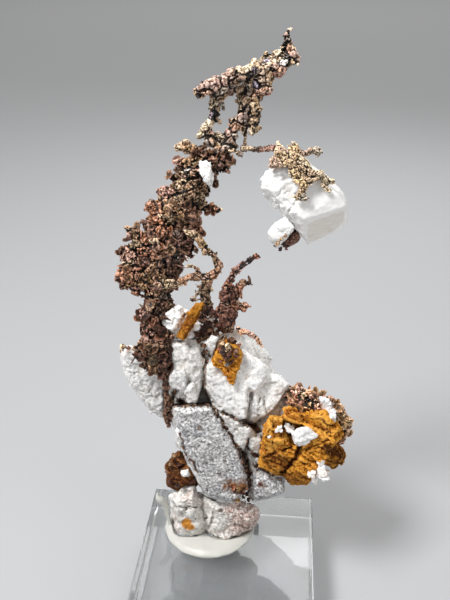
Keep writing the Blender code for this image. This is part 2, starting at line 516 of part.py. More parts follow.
def make_crest(mat, parent, neighbours):
    """The top of the growth: a beak on two legs, with a spire at its right end."""
    def draw(bm, rng):
        # The crosspiece that the two legs stand on
        strand(bm, rng, (-4, 88.3, -0.4, 0.9), (-2.4, 88.1, -0.2, 0.85), (-1, 87.7, -0.1, 0.85), (0.5, 87.8, 0, 0.95),
               (2, 88, 0, 1.05), (3.5, 88.3, 0.2, 1.15), (5.0, 88, 0.2, 0.95))
        # The spire and the lumps beside it
        strand(bm, rng, (12.4, 101.6, 0.6, 1.15), (13.6, 102.9, 0.8, 1.1), (13.3, 104.8, 1.0, 0.75),
               (13, 106.3, 1.1, 0.4))
        strand(bm, rng, (13.6, 102.5, 0.6, 1.1), (15, 102.5, 0.3, 0.55), (15.1, 101.8, 0.3, 0.4))
        strand(bm, rng, (12.6, 103.3, 1.0, 0.6), (11, 103, 1.2, 0.5), (9.2, 102.4, 1.4, 0.45))
        strand(bm, rng, (12.6, 101.6, 0.6, 1.2), (11.2, 101.0, 0.4, 1.3), (9.8, 100.6, 0.2, 1.3), (8.2, 100.3, 0, 1.3),
               (7.9, 101.5, 0, 0.6))
        strand(bm, rng, (12, 101.2, 0.6, 1.2), (12.2, 100.2, -0.2, 0.7))
        # The beak, an upper and a lower band grown together
        strand(bm, rng, (7.8, 100.2, -0.4, 1.2), (5.5, 100.0, -0.9, 1.25), (3.6, 99.2, -1.2, 1.2),
               (2.2, 98.5, -1.4, 1.2), (0.3, 98.1, -1.6, 1.2), (-0.6, 97.5, -1.7, 1.0), (-1.1, 96.5, -1.7, 0.5))
        strand(bm, rng, (1.4, 97.6, -0.6, 0.9), (4, 98.0, 0.2, 1.2), (6, 98.6, 0.3, 1.3), (7.8, 98.9, 0.3, 1.4))
        # The mass at the top of the right leg
        strand(bm, rng, (9.6, 100, 0.2, 1.4), (9.3, 98.2, 0.2, 1.5), (8.8, 96.9, 0.2, 0.9), (8.3, 96.2, 0.2, 0.45))
        strand(bm, rng, (9.8, 98.8, 0, 1.1), (10.3, 97.7, -0.2, 0.8), (10.5, 96.9, -0.2, 0.45))
        # The left leg
        strand(bm, rng, (2.3, 97, -0.6, 1.05), (1.7, 95.4, -0.5, 0.85), (1.9, 94.4, -0.4, 0.8), (1.5, 93.4, -0.6, 0.8),
               (1.1, 92.4, -0.4, 0.75), (0.2, 91.4, -0.4, 0.8), (-0.5, 90.5, -0.6, 0.75), (-1.3, 90.1, -0.7, 0.5))
        strand(bm, rng, (0.4, 91.4, -0.4, 0.75), (0.9, 90.3, -0.2, 0.7), (1.1, 89.3, -0.1, 0.7), (1, 88.2, 0, 0.75))
        strand(bm, rng, (1, 90.3, -0.2, 0.5), (3.8, 90.3, 0.3, 0.55))
        # The right leg, with its side lumps and a drip
        strand(bm, rng, (7.7, 98.2, 0.3, 1.2), (7, 95.9, 0.5, 1.15), (6.6, 94.2, 0.6, 1.1), (5.8, 92.8, 0.4, 1.05),
               (4.8, 91.8, 0.4, 1.05), (4.2, 90.6, 0.4, 1.1), (4.4, 89.2, 0.2, 1.1), (4.4, 88.3, 0.2, 1.1))
        strand(bm, rng, (7.1, 95.5, 0, 0.9), (8.6, 94.3, -0.5, 0.95), (8.5, 92.6, -0.4, 0.85),
               (8.3, 91.2, -0.4, 0.75), (8, 90.4, -0.4, 0.4))
        strand(bm, rng, (5.9, 93, 0.9, 0.55), (6.8, 90.9, 1.0, 0.5), (7, 89.4, 1.0, 0.38))
        strand(bm, rng, (6.8, 96.6, 0.6, 0.9), (5.6, 96.0, 1.6, 0.7))
        strand(bm, rng, (5.2, 92.2, 0.5, 0.9), (4.2, 92.8, 1.7, 0.6))
        strand(bm, rng, (9.4, 99.4, 0.4, 1.1), (9.9, 99.0, 2.2, 0.7))
    return grown("copper_crest", mat, parent, 111, 900, draw, neighbours, grain=FINE_GRAIN)


def make_crystal(mat, parent):
    """The large calcite block that hangs at the end of the copper arm."""
    front = [(10.6, 81.6, -4.0), (12.2, 84.4, -4.0), (16.2, 84.8, -4.2), (22.8, 79.8, -5.0), (24.4, 77.7, -4.6),
             (17.6, 75.2, -5.4), (13.8, 78, -4.8)]
    girdle = [(11, 85, -1), (10.2, 84, -1), (9.9, 82.5, -1), (10, 81.2, -2), (10.6, 79.7, -2), (13.2, 77.4, -2.5),
              (16.3, 74.0, -3), (17.8, 71.6, -3), (18.6, 70.6, -2), (22.4, 72.7, -1.5), (24.7, 74.9, -1.5),
              (25, 78, -1), (23.6, 80.4, 0), (20.4, 83.4, 0), (18.5, 85, 0), (16.6, 86.4, 0), (13.8, 86.4, 0)]
    middle_x, middle_z, back_depth, back_size = 17.5, 78.5, 4.5, 0.82
    back = [(middle_x + (x - middle_x) * back_size, middle_z + (z - middle_z) * back_size, back_depth)
            for x, z, _ in girdle]
    points = [at(*point) for point in front + girdle + back]
    return cleaved("hanging_crystal", mat, parent, 121, 200, [points])


def make_small_crystal(mat, parent, neighbours):
    outline = [(11, 73.2), (12, 74.3), (13.9, 75.9), (15.2, 74.9), (15.9, 73.9), (14.6, 72.4), (13.7, 71), (13, 70),
               (11.5, 71.2)]
    blocks = [chunk(outline, -4.2, 1.6, wear=0.7, face=0.86)]
    return cleaved("small_crystal", mat, parent, 131, 70, blocks, neighbours)


def make_link(mat, parent, neighbours):
    """Dark copper behind the small crystal, which holds it to the large one."""
    def draw(bm, rng):
        strand(bm, rng, (14.6, 76.2, 0.6, 0.7), (15.3, 75.2, 0.8, 1.0), (16.2, 73.4, 0.6, 1.1), (15.7, 72.5, 0.2, 1.2),
               (15.2, 71.5, -0.6, 1.0), (14.6, 70.5, -1.0, 0.7))
        strand(bm, rng, (16.4, 73.1, -1.4, 0.7), (15.9, 72.4, -2.2, 0.8), (15.0, 71.5, -2.4, 0.8),
               (14.4, 70.5, -2.0, 0.5))
        strand(bm, rng, (15.8, 72.5, -2, 0.8), (15.7, 72.5, 0.2, 1.0))
        strand(bm, rng, (15, 74, 2.0, 1.2), (13.6, 73, 2.4, 1.0))
    return grown("copper_link", mat, parent, 141, 180, draw, neighbours, grain=FINE_GRAIN)


def make_cap(mat, parent, neighbours):
    """Copper over the top of the large crystal and down its lit face."""
    def draw(bm, rng):
        strand(bm, rng, (12.6, 87.7, -0.7, 0.8), (12.9, 86.9, -2.2, 1.0), (13.2, 86.4, -3.4, 1.0),
               (14.0, 86.0, -4.4, 0.9))
        strand(bm, rng, (12.9, 86.6, -3, 1.0), (11.8, 86, -3.2, 0.8), (11.3, 85.2, -4.0, 0.6), (12.6, 85.2, -4.8, 0.6),
               (13.6, 85.6, -4.8, 0.7))
        strand(bm, rng, (14, 86.3, -3.8, 1.0), (14.9, 86.9, -2.8, 1.0), (15, 88, -2.0, 0.75), (14.9, 89, -1.8, 0.35))
        strand(bm, rng, (14.9, 87, -2.6, 0.9), (16.5, 87.1, -1.8, 0.6), (17.2, 87.3, -1.4, 0.5), (18.2, 87.7, -1, 0.55),
               (19, 87.8, -0.9, 0.55), (19.7, 87.5, -0.8, 0.35))
        strand(bm, rng, (18.9, 87.6, -1, 0.5), (19.1, 86.7, -1, 0.35))
        strand(bm, rng, (13.8, 86, -4.4, 0.9), (14.5, 85.6, -5.0, 0.85), (15, 84.9, -5.2, 0.8), (15.5, 83.8, -5.3, 0.8),
               (15.9, 82.9, -5.5, 0.8), (16.6, 82.2, -5.6, 0.8), (17.1, 81.6, -5.7, 0.7), (16.8, 80.8, -5.8, 0.6),
               (16.4, 79.9, -5.9, 0.6), (15.9, 79.1, -5.9, 0.5))
        strand(bm, rng, (14.9, 86, -4.6, 0.85), (16.6, 85.4, -4.9, 0.75), (17.4, 84.6, -5.1, 0.7), (18, 83.5, -5.4, 0.8),
               (19, 83.3, -5.2, 0.75), (19.8, 83.4, -4.8, 0.6), (20.4, 82.7, -5.0, 0.5), (21.2, 82.3, -4.8, 0.5),
               (22.2, 82, -4.2, 0.4))
        strand(bm, rng, (18.3, 83, -5.5, 0.65), (17.5, 82, -5.7, 0.65))
        strand(bm, rng, (16.2, 79.2, -5.9, 0.4), (17.2, 78.9, -6.0, 0.4), (17.9, 79.4, -6.0, 0.35))
        strand(bm, rng, (20.3, 82.5, -5.1, 0.4), (20.7, 80.9, -5.5, 0.38), (21.6, 80.6, -5.4, 0.35))
    return grown("copper_cap", mat, parent, 151, 560, draw, neighbours, grain=WIRE_GRAIN)


def make_arm(mat, parent, neighbours):
    """The thin copper arm that carries the hanging crystal."""
    def draw(bm, rng):
        strand(bm, rng, (4.6, 88, 0, 0.7), (6.2, 88.1, 0.3, 0.55), (7.5, 88, 0.6, 0.5), (9, 87.8, 0.7, 0.46),
               (10.2, 87.9, 0.5, 0.5), (11.3, 88.1, 0.1, 0.65), (12.4, 88.0, -0.4, 0.75), (12.8, 87.6, -0.9, 0.7))
    return grown("copper_arm", mat, parent, 161, 150, draw, neighbours, grain=WIRE_GRAIN)


def make_arch(mat, parent, neighbours):
    """Twigs in front of the plume: an arch, a lower twig, a hook and the stem that carries them."""
    def draw(bm, rng):
        strand(bm, rng, (-9.8, 62, -6.4, 0.6), (-8.4, 62.8, -6.6, 0.85), (-7, 62.6, -6.4, 0.75), (-5.6, 62.4, -5.8, 0.5),
               (-4.4, 63.3, -5.2, 0.55), (-3.6, 64, -4.9, 0.6), (-2.4, 64.2, -4.6, 0.65), (-0.5, 64.2, -4.4, 0.6),
               (0.5, 63.8, -4.4, 0.75))
        strand(bm, rng, (-3.6, 73.2, -4.4, 0.55), (-2, 72.3, -4.3, 0.6), (-1.1, 71.4, -4.3, 0.75),
               (-0.5, 70.2, -4.3, 0.75), (0, 69.2, -4.3, 0.65), (0.9, 68.8, -4.3, 0.55), (1.7, 67.8, -4.3, 0.6),
               (2.4, 66.6, -4.3, 0.75), (1.8, 65.4, -4.3, 0.7), (1.2, 64.6, -4.4, 0.75), (0.2, 63.8, -4.4, 0.75))
        strand(bm, rng, (1.2, 68.4, -4.3, 0.4), (1.7, 69, -4.3, 0.28))
        strand(bm, rng, (-3.6, 66.1, -4.8, 0.38), (-2.7, 66.4, -4.8, 0.4), (-1.9, 66, -4.6, 0.4),
               (-1.5, 65.2, -4.5, 0.45), (-0.8, 64.4, -4.4, 0.5))
        strand(bm, rng, (0.2, 63.8, -4.4, 0.8), (0, 62.6, -4.4, 0.9), (-0.3, 61.2, -4.4, 0.9), (-0.3, 59.8, -4.3, 0.9),
               (0, 58.4, -4.2, 0.95), (0.4, 56.8, -4.0, 1.05), (0.6, 55, -3.8, 1.15), (0.7, 53.2, -3.6, 1.2),
               (0.2, 51.4, -3.4, 1.1))
        strand(bm, rng, (-0.4, 62.2, -4.8, 0.4), (-1.7, 60.7, -5.2, 0.4), (-3, 59.2, -5.6, 0.35))
        strand(bm, rng, (0.3, 62.3, -4.5, 0.4), (1.1, 61.2, -4.5, 0.3))
        strand(bm, rng, (0.6, 53.6, -3.8, 1.2), (-0.6, 52.2, -4.2, 0.8), (-1.4, 50.6, -4.8, 0.6))
        strand(bm, rng, (0.8, 54.4, -4.2, 1.0), (1.9, 53, -4.4, 0.8))
    return grown("copper_arch", mat, parent, 171, 560, draw, neighbours, grain=WIRE_GRAIN)


def make_blades(mat, parent, neighbours):
    """Dark blades that lean right above the front of the stone."""
    def draw(bm, rng):
        strand(bm, rng, (3, 58, -5.2, 1.0), (3.2, 60, -5.3, 0.85), (3.7, 62, -5.3, 0.75), (4.6, 64.2, -5.3, 0.6),
               (5.8, 66, -5.2, 0.5), (7, 67.3, -5.1, 0.42), (8.4, 68, -5.6, 0.38), (9.6, 68.5, -6.2, 0.3))
        strand(bm, rng, (5.4, 65.4, -5.3, 0.45), (4.6, 65.9, -5.6, 0.35))
        strand(bm, rng, (4.4, 58.4, -4.8, 0.9), (5.4, 60.6, -4.8, 0.8), (6, 62, -4.8, 0.75), (6.8, 63.2, -4.8, 0.5),
               (7.7, 63, -4.8, 0.45), (8.5, 62.2, -4.8, 0.3))
        strand(bm, rng, (5.2, 58.2, -4.8, 0.9), (7, 58, -5.0, 0.7), (7.9, 58, -5.0, 0.35))
        strand(bm, rng, (6.6, 57.9, -5.0, 0.5), (7, 56.9, -5.0, 0.4))
        strand(bm, rng, (4, 58.2, -4.6, 1.4), (3.8, 56.4, -4.4, 1.6), (3.7, 54.6, -4.4, 1.4), (3.6, 53, -4.4, 1.2))
        strand(bm, rng, (4.6, 57.6, -4.6, 1.2), (5.2, 56.6, -4.4, 1.1))
        strand(bm, rng, (3, 57.6, -4.6, 1.0), (1.9, 57, -4.8, 0.6))
    return grown("copper_blades", mat, parent, 181, 440, draw, neighbours, grain=WIRE_GRAIN)


def make_twig(mat, parent, neighbours):
    def draw(bm, rng):
        strand(bm, rng, (4.9, 53.9, -4.6, 0.5), (5.8, 53.0, -5.0, 0.5), (7.2, 52.4, -4.8, 0.5), (8.5, 51.8, -4.6, 0.5),
               (9.4, 51.1, -4.5, 0.45), (10.1, 50.2, -4.4, 0.4), (10.7, 48.9, -4.4, 0.3))
        strand(bm, rng, (6.2, 52.7, -4.9, 0.5), (6.6, 51.8, -5.0, 0.35))
    return grown("copper_twig", mat, parent, 191, 130, draw, neighbours, grain=WIRE_GRAIN)


def make_patch(mat, parent, neighbours):
    """Limonite that runs down the white stone below the blades."""
    upper = [(2.3, 50), (4.2, 50.6), (5.5, 49.2), (6.8, 48), (6.7, 46.3), (6.2, 44), (5.6, 43.1), (3, 43.6),
             (1.2, 44.6), (0.9, 46), (2, 47.6)]
    drip = [(3, 44), (5.8, 44.4), (5.5, 41.2), (5.1, 39.8), (4.5, 41), (4, 42.5)]
    blocks = [
        chunk(upper, -7.6, -4.0, lean=-0.05, wear=0.7, face=0.86),
        chunk(drip, -7.9, -4.5, lean=-0.05, wear=0.6, face=0.75),
    ]
    return cleaved("limonite_patch", mat, parent, 201, 170, blocks, neighbours)


def make_chip(mat, parent, neighbours):
    outline = [(0.2, 86.2), (-0.8, 85.6), (-1, 84), (0.1, 82), (1, 81), (1.4, 81.7), (1.1, 83.6), (0.8, 85.2)]
    blocks = [chunk(outline, -4.2, -1.8, wear=0.5, face=0.8)]
    return cleaved("calcite_chip", mat, parent, 211, 70, blocks, neighbours)


def main():
    for obj in list(bpy.data.objects):
        bpy.data.objects.remove(obj)
    acrylic = material("clear_acrylic", "#EEF2F4", 0.05, alpha=0.25)
    putty_mat = material("mounting_putty", "#E9E8E0", 0.45)
    calcite = material("white_calcite", "#F2F3F5", 0.55)
    foot_mat = material("pink_calcite", "#D6C3BA", 0.55)
    ochre = material("ochre_limonite", "#B8720F", 0.85)
    brown = material("brown_limonite", "#6B3C12", 0.85)
    copper = material("native_copper", "#6B4636", 0.45, metallic=0.9)
    dark_copper = material("dark_copper", "#4A2F25", 0.5, metallic=0.85)

    specimen = bpy.data.objects.new("specimen", None)
    bpy.context.scene.collection.objects.link(specimen)
    specimen.location = (SPECIMEN_X * MM, SPECIMEN_Y * MM, BLOCK_HEIGHT * MM)
    specimen.rotation_euler = (0.0, 0.0, SPECIMEN_TURN)

    make_block(acrylic)
    foot = make_foot(foot_mat, specimen)
    make_putty(putty_mat, specimen, foot)
    matrix = make_matrix(calcite, specimen, foot)
    brown_stone = make_left_limonite(brown, specimen, [foot, matrix])
    ochre_stone = make_limonite(ochre, specimen, [matrix])
    make_cavity_crystals(calcite, specimen, [ochre_stone, matrix])
    make_edge_crust(copper, specimen, [matrix, ochre_stone])
    upper = make_upper_calcite(calcite, specimen, [matrix])
    sheet = make_sheet(ochre, specimen, [matrix, upper])
    trunk = make_trunk(dark_copper, specimen, [matrix, upper, brown_stone])
    plume = make_plume(copper, specimen, [trunk, upper])
    crest = make_crest(copper, specimen, [plume])
    arch = make_arch(copper, specimen, [matrix, upper, sheet, trunk, plume])
    blades = make_blades(dark_copper, specimen, [matrix, arch])
    twig = make_twig(copper, specimen, [matrix, blades])
    make_patch(ochre, specimen, [matrix, blades, arch, twig])
    crystal = make_crystal(calcite, specimen)
    small = make_small_crystal(calcite, specimen, [crystal])
    make_link(dark_copper, specimen, [crystal, small])
    cap = make_cap(copper, specimen, [crystal])
    make_arm(copper, specimen, [crest, cap, crystal])
    make_chip(calcite, specimen, [plume, crest])


main()
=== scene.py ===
# Native copper grown over white calcite and ochre limonite, standing in putty on a clear acrylic block.
import itertools
import math
import random

import bmesh
import bpy
import numpy as np
from mathutils import Euler, Matrix, Vector, noise
from mathutils.bvhtree import BVHTree


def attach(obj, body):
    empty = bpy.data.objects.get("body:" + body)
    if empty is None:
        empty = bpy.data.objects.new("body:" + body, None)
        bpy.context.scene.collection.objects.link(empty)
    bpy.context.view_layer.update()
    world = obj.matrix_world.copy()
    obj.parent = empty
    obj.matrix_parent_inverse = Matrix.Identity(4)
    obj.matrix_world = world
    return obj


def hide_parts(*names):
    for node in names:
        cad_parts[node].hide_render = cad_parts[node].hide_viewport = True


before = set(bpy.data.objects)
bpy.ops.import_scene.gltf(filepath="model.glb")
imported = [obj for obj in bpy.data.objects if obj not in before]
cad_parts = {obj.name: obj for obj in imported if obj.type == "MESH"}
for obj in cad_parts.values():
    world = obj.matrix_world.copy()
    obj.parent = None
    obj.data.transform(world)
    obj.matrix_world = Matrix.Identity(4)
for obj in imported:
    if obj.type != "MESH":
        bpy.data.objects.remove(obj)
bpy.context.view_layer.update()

# Blender's vector noise starts from the clock unless it is given a seed.
noise.seed_set(3)

MM = 0.001

# The block's size and the specimen's place on it, in millimetres, as in the solids.
BLOCK_SIDE = 38.0
BLOCK_HEIGHT = 12.0
SPECIMEN_X = -4.3
SPECIMEN_Y = 6.8
SPECIMEN_TURN = math.radians(5.3)
SPECIMEN_PLACE = Matrix.Translation((SPECIMEN_X, SPECIMEN_Y, BLOCK_HEIGHT))
SPECIMEN = SPECIMEN_PLACE @ Matrix.Rotation(SPECIMEN_TURN, 4, "Z")
TO_PART = Matrix.Scale(MM, 4) @ SPECIMEN

# Features are placed as drawn on the upright plane through the foot, seen by an eye in front of it and
# above it.
EYE = np.array((3.4, -114.0, 119.9))

# How far polishing rounded the block's edges, a little more than the solid's bevel.
BLOCK_EDGE = 0.45

# A calcite cleavage block's corner angle, in degrees.
CLEAVAGE_ANGLE = 74.9


# Drawing helpers

def colour(hex_code):
    """An sRGB hex colour as linear red, green, blue and alpha."""
    channels = [int(hex_code[i:i + 2], 16) / 255 for i in (1, 3, 5)]
    return [c / 12.92 if c <= 0.04045 else ((c + 0.055) / 1.055) ** 2.4 for c in channels] + [1.0]


def at(x, z, depth):
    """A point drawn at x, z, moved along its line of sight to its depth behind the drawing plane."""
    reach = (depth - EYE[1]) / -EYE[1]
    return Vector(EYE + (np.array((x, 0.0, z)) - EYE) * reach)


def drawn(place):
    """Where a point is seen on the drawing plane."""
    reach = -EYE[1] / (place[1] - EYE[1])
    return EYE[0] + (place[0] - EYE[0]) * reach, EYE[2] + (place[2] - EYE[2]) * reach


def smooth(share):
    """A share from 0 to 1 with soft ends."""
    share = np.clip(share, 0.0, 1.0)
    return share * share * (3.0 - 2.0 * share)


def chances(cells, seed):
    """Three numbers from 0 to 1 for each cell, always the same ones for the same cell."""
    mixed = np.sin(cells @ np.array(((12.9, 269.5, 113.5), (78.2, 183.3, 271.9), (37.7, 91.7, 311.7))) + seed)
    mixed *= 43758.5
    return mixed - np.floor(mixed)


def new_object(name, mesh):
    obj = bpy.data.objects.new(name, mesh)
    bpy.context.scene.collection.objects.link(obj)
    return obj


def keep(mesh, name, values):
    """Stores a number or a colour for each point of a mesh, for its material to read."""
    if values.ndim == 2:
        held = mesh.attributes.get(name) or mesh.attributes.new(name, "FLOAT_COLOR", "POINT")
        held.data.foreach_set("color", np.ascontiguousarray(values, dtype=np.float32).ravel())
    else:
        held = mesh.attributes.get(name) or mesh.attributes.new(name, "FLOAT", "POINT")
        held.data.foreach_set("value", np.ascontiguousarray(values, dtype=np.float32))


def settle(obj):
    """Turns an object's modifiers into its own mesh."""
    bpy.context.view_layer.update()
    graph = bpy.context.evaluated_depsgraph_get()
    mesh = bpy.data.meshes.new_from_object(obj.evaluated_get(graph))
    obj.modifiers.clear()
    old = obj.data
    obj.data = mesh
    bpy.data.meshes.remove(old)


def solid_of(node):
    """A copy of a solid as a working object, in millimetres in the specimen's own frame."""
    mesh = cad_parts[node].data.copy()
    mesh.transform(TO_PART.inverted())
    bm = bmesh.new()
    bm.from_mesh(mesh)
    bmesh.ops.remove_doubles(bm, verts=bm.verts, dist=0.0005)
    bm.to_mesh(mesh)
    bm.free()
    mesh.materials.clear()
    return new_object(node + "_work", mesh)


def skin(obj, grain):
    """Draws one closed skin over everything in a working object, with squares of the grain's size."""
    cover = obj.modifiers.new("skin", "REMESH")
    cover.mode = "VOXEL"
    cover.voxel_size = grain
    cover.use_smooth_shade = True
    settle(obj)


def soften(obj, rounds):
    ease = obj.modifiers.new("ease", "SMOOTH")
    ease.iterations = rounds
    ease.factor = 0.5
    settle(obj)


# Loose shapes: each is a list of corner points and a list of faces

def ball(rounds):
    """A ball of radius 1 made of triangles."""
    bm = bmesh.new()
    bmesh.ops.create_icosphere(bm, subdivisions=rounds, radius=1.0)
    shape = (np.array([v.co for v in bm.verts]), [[v.index for v in f.verts] for f in bm.faces])
    bm.free()
    return shape


def nugget(seed):
    """A blunt, dented copper crystal of radius 1."""
    points, faces = ball(2)
    shift = Vector((seed * 7.3, seed * 3.1, seed * 5.7))
    swell = [1.0 + 0.5 * noise.noise(Vector(p) * 1.2 + shift) + 0.2 * noise.noise(Vector(p) * 3.1 + shift)
             for p in points.tolist()]
    return points * np.array(swell)[:, None], faces


GRAIN = ball(1)
NUGGETS = [nugget(seed) for seed in range(9)]


def turned(rng):
    """A rotation in any direction."""
    return np.array(Euler([rng.uniform(0, 2 * math.pi) for _ in range(3)]).to_matrix())


def rhomb(width, depth, height, wear):
    """A calcite cleavage block about its middle, its twelve edges a little worn."""
    slant = 1 / math.tan(math.radians(CLEAVAGE_ANGLE))
    bm = bmesh.new()
    bmesh.ops.create_cube(bm, size=1.0)
    for v in bm.verts:
        x, y, z = v.co
        v.co = (x * width + slant * z * height, y * depth + slant * x * width, z * height)
    bmesh.ops.bevel(bm, geom=bm.edges[:], offset=wear, segments=1, affect="EDGES")
    result = (np.array([v.co for v in bm.verts]), [[v.index for v in f.verts] for f in bm.faces])
    bm.free()
    return result


class Heap:
    """Many loose shapes gathered into one mesh."""

    def __init__(self):
        self.points, self.faces, self.marks = [], [], {}
        self.count = 0

    def put(self, shape, place, size=1.0, turn=None, **marks):
        """Adds a shape. Each mark is one number or one colour, or one for each of the shape's points."""
        points, faces = shape
        points = points * size
        if turn is not None:
            points = points @ turn.T
        self.points.append(points + np.array(place))
        self.faces += [[i + self.count for i in face] for face in faces]
        self.count += len(points)
        for name, value in marks.items():
            wide = (len(points), 4) if name == "film" else (len(points),)
            self.marks.setdefault(name, []).append(np.broadcast_to(value, wide))

    def mesh(self, name):
        mesh = bpy.data.meshes.new(name)
        mesh.from_pydata(np.concatenate(self.points).tolist(), [], self.faces)
        for mark, values in self.marks.items():
            keep(mesh, mark, np.concatenate(values))
        return mesh


class Surface:
    """A working object's skin as arrays, for carving and marking it."""

    def __init__(self, obj):
        self.obj = obj
        mesh = obj.data
        count = len(mesh.vertices)
        self.points = np.empty(count * 3)
        mesh.vertices.foreach_get("co", self.points)
        self.points = self.points.reshape(-1, 3)
        self.edges = np.empty(len(mesh.edges) * 2, dtype=np.int64)
        mesh.edges.foreach_get("vertices", self.edges)
        self.edges = self.edges.reshape(-1, 2)
        self.marks = {}
        self.look()

    def look(self):
        """Reads the normals and where each point is seen on the drawing plane."""
        mesh = self.obj.data
        mesh.vertices.foreach_set("co", self.points.ravel())
        mesh.update()
        self.normals = np.empty(len(self.points) * 3)
        mesh.vertex_normals.foreach_get("vector", self.normals)
        self.normals = self.normals.reshape(-1, 3)
        reach = -EYE[1] / (self.points[:, 1] - EYE[1])
        self.x = EYE[0] + (self.points[:, 0] - EYE[0]) * reach
        self.z = EYE[2] + (self.points[:, 2] - EYE[2]) * reach
        sight = EYE - self.points
        sight /= np.linalg.norm(sight, axis=1)[:, None]
        self.sight = sight
        self.front = smooth(np.einsum("ij,ij->i", self.normals, sight) * 4.0 + 0.3)

    def wobble(self, size, reach, seed=0.0):
        """Shifts where each point counts as drawn, so that marks get uneven borders."""
        shifts = np.array([noise.noise_vector(Vector(p) / size + Vector((seed, seed, seed)))
                           for p in self.points.tolist()])
        self.x = self.x + shifts[:, 0] * reach
        self.z = self.z + shifts[:, 2] * reach

    def grain(self, size, stretch=(1.0, 1.0, 1.0), turn=None, seed=0.0):
        """Noise from about -1 to 1 at each point. Its lumps have one size in millimetres, times a stretch."""
        places = self.points if turn is None else self.points @ np.array(turn.to_matrix())
        places = places / (np.array(stretch) * size) + seed
        return np.array([noise.noise(Vector(p)) for p in places.tolist()])

    def crystals(self, size, seed=0.0, stretch=(1.0, 1.0, 1.0), turn=None):
        """Splits the skin into angular crystals of one size.

        Gives how far each point is inside its own crystal's edge (0 on the edge, about 0.8 in the middle),
        its height on the crystal's own slanted face, and the crystal's own number from 0 to 1.
        """
        places = self.points if turn is None else self.points @ np.array(turn.to_matrix())
        places = places / (np.array(stretch) * size)
        home = np.floor(places)
        near = np.full(len(places), 9.0)
        beyond = near.copy()
        height = np.zeros(len(places))
        number = np.zeros(len(places))
        for step in itertools.product((-1, 0, 1), repeat=3):
            cell = home + step
            heart = chances(cell, seed)
            away = places - cell - heart
            gap = np.linalg.norm(away, axis=1)
            closer = gap < near
            beyond = np.where(closer, near, np.minimum(beyond, gap))
            near = np.where(closer, gap, near)
            lean = chances(cell, seed + 5.0) * 2.0 - 1.0
            height = np.where(closer, np.einsum("ij,ij->i", away, lean), height)
            number = np.where(closer, heart[:, 0], number)
        return beyond - near, height, number

    def lift(self, amount):
        """Moves the skin out, or in where the amount is below 0, in millimetres."""
        self.points = self.points + self.normals * np.broadcast_to(amount, len(self.points))[:, None]

    def break_up(self, size, steps, slant, crease, seed=0.0, **settings):
        """Turns the skin into angular crystals that stand at different heights, and gives their numbers."""
        inside, height, number = self.crystals(size, seed, **settings)
        self.lift((number - 0.5) * steps + height * slant - (1.0 - smooth(inside * 3.5)) * crease)
        self.look()
        return number

    def along(self, knots):
        """How near each point is to a drawn line of x, z, half width: 1 on it, 0 from its half width on."""
        best = np.zeros(len(self.points))
        for (ax, az, aw), (bx, bz, bw) in zip(knots, knots[1:]):
            dx, dz = bx - ax, bz - az
            share = np.clip(((self.x - ax) * dx + (self.z - az) * dz) / (dx * dx + dz * dz), 0.0, 1.0)
            away = np.hypot(self.x - ax - share * dx, self.z - az - share * dz)
            best = np.maximum(best, 1.0 - away / (aw + (bw - aw) * share))
        return np.clip(best, 0.0, 1.0)

    def spot(self, x, z, radius):
        return np.clip(1.0 - np.hypot(self.x - x, self.z - z) / radius, 0.0, 1.0)

    def inside(self, outline):
        """True where a point is drawn inside an outline."""
        found = np.zeros(len(self.points), dtype=bool)
        for (ax, az), (bx, bz) in zip(outline, outline[1:] + outline[:1]):
            crosses = (az > self.z) != (bz > self.z)
            with np.errstate(divide="ignore", invalid="ignore"):
                found ^= crosses & (self.x < (bx - ax) * (self.z - az) / (bz - az) + ax)
        return found

    def mark(self, name, amount):
        """Keeps the larger of what a mark had and a new amount."""
        self.marks[name] = np.maximum(self.marks.get(name, 0.0), np.clip(amount, 0.0, 1.0))

    def carve(self, share, depth):
        """Sinks the front of the skin away from the eye where share is above 0."""
        amount = smooth(share) * depth * self.front
        self.points = self.points - self.sight * amount[:, None]

    def averaged(self, values, rounds):
        a, b = self.edges[:, 0], self.edges[:, 1]
        count = len(self.points)
        valence = np.bincount(a, minlength=count) + np.bincount(b, minlength=count)
        valence = np.maximum(valence, 1)
        for _ in range(rounds):
            total = np.stack([np.bincount(a, weights=values[b, k], minlength=count)
                              + np.bincount(b, weights=values[a, k], minlength=count)
                              for k in range(values.shape[1])], axis=1)
            values = 0.5 * values + 0.5 * total / valence[:, None]
        return values

    def relief(self, rounds, height):
        """From 0 deep in a hollow to 1 on a ridge, against the skin smoothed over some rounds."""
        away = np.einsum("ij,ij->i", self.points - self.averaged(self.points, rounds), self.normals)
        return np.clip(0.5 + 0.5 * away / height, 0.0, 1.0)

    def store(self):
        mesh = self.obj.data
        mesh.vertices.foreach_set("co", self.points.ravel())
        for name, values in self.marks.items():
            keep(mesh, name, values)
        mesh.update()


def tree_of(obj):
    """For finding points on a working object's skin."""
    mesh = obj.data
    return BVHTree.FromPolygons([v.co for v in mesh.vertices], [p.vertices[:] for p in mesh.polygons])


def seen_on(tree, x, z):
    """The point and normal where the line of sight through x, z first meets a skin."""
    start = Vector(EYE)
    place, normal, _, _ = tree.ray_cast(start, (Vector((x, 0.0, z)) - start).normalized())
    return place, normal


def found_on(tree, x, z, depth):
    """The point and normal where x, z is seen on a skin, or beside it at the depth of what is nearest."""
    place, normal = seen_on(tree, x, z)
    if place is None:
        place = at(x, z, tree.find_nearest(at(x, z, depth))[0].y)
        normal = (Vector(EYE) - place).normalized()
    return place, normal


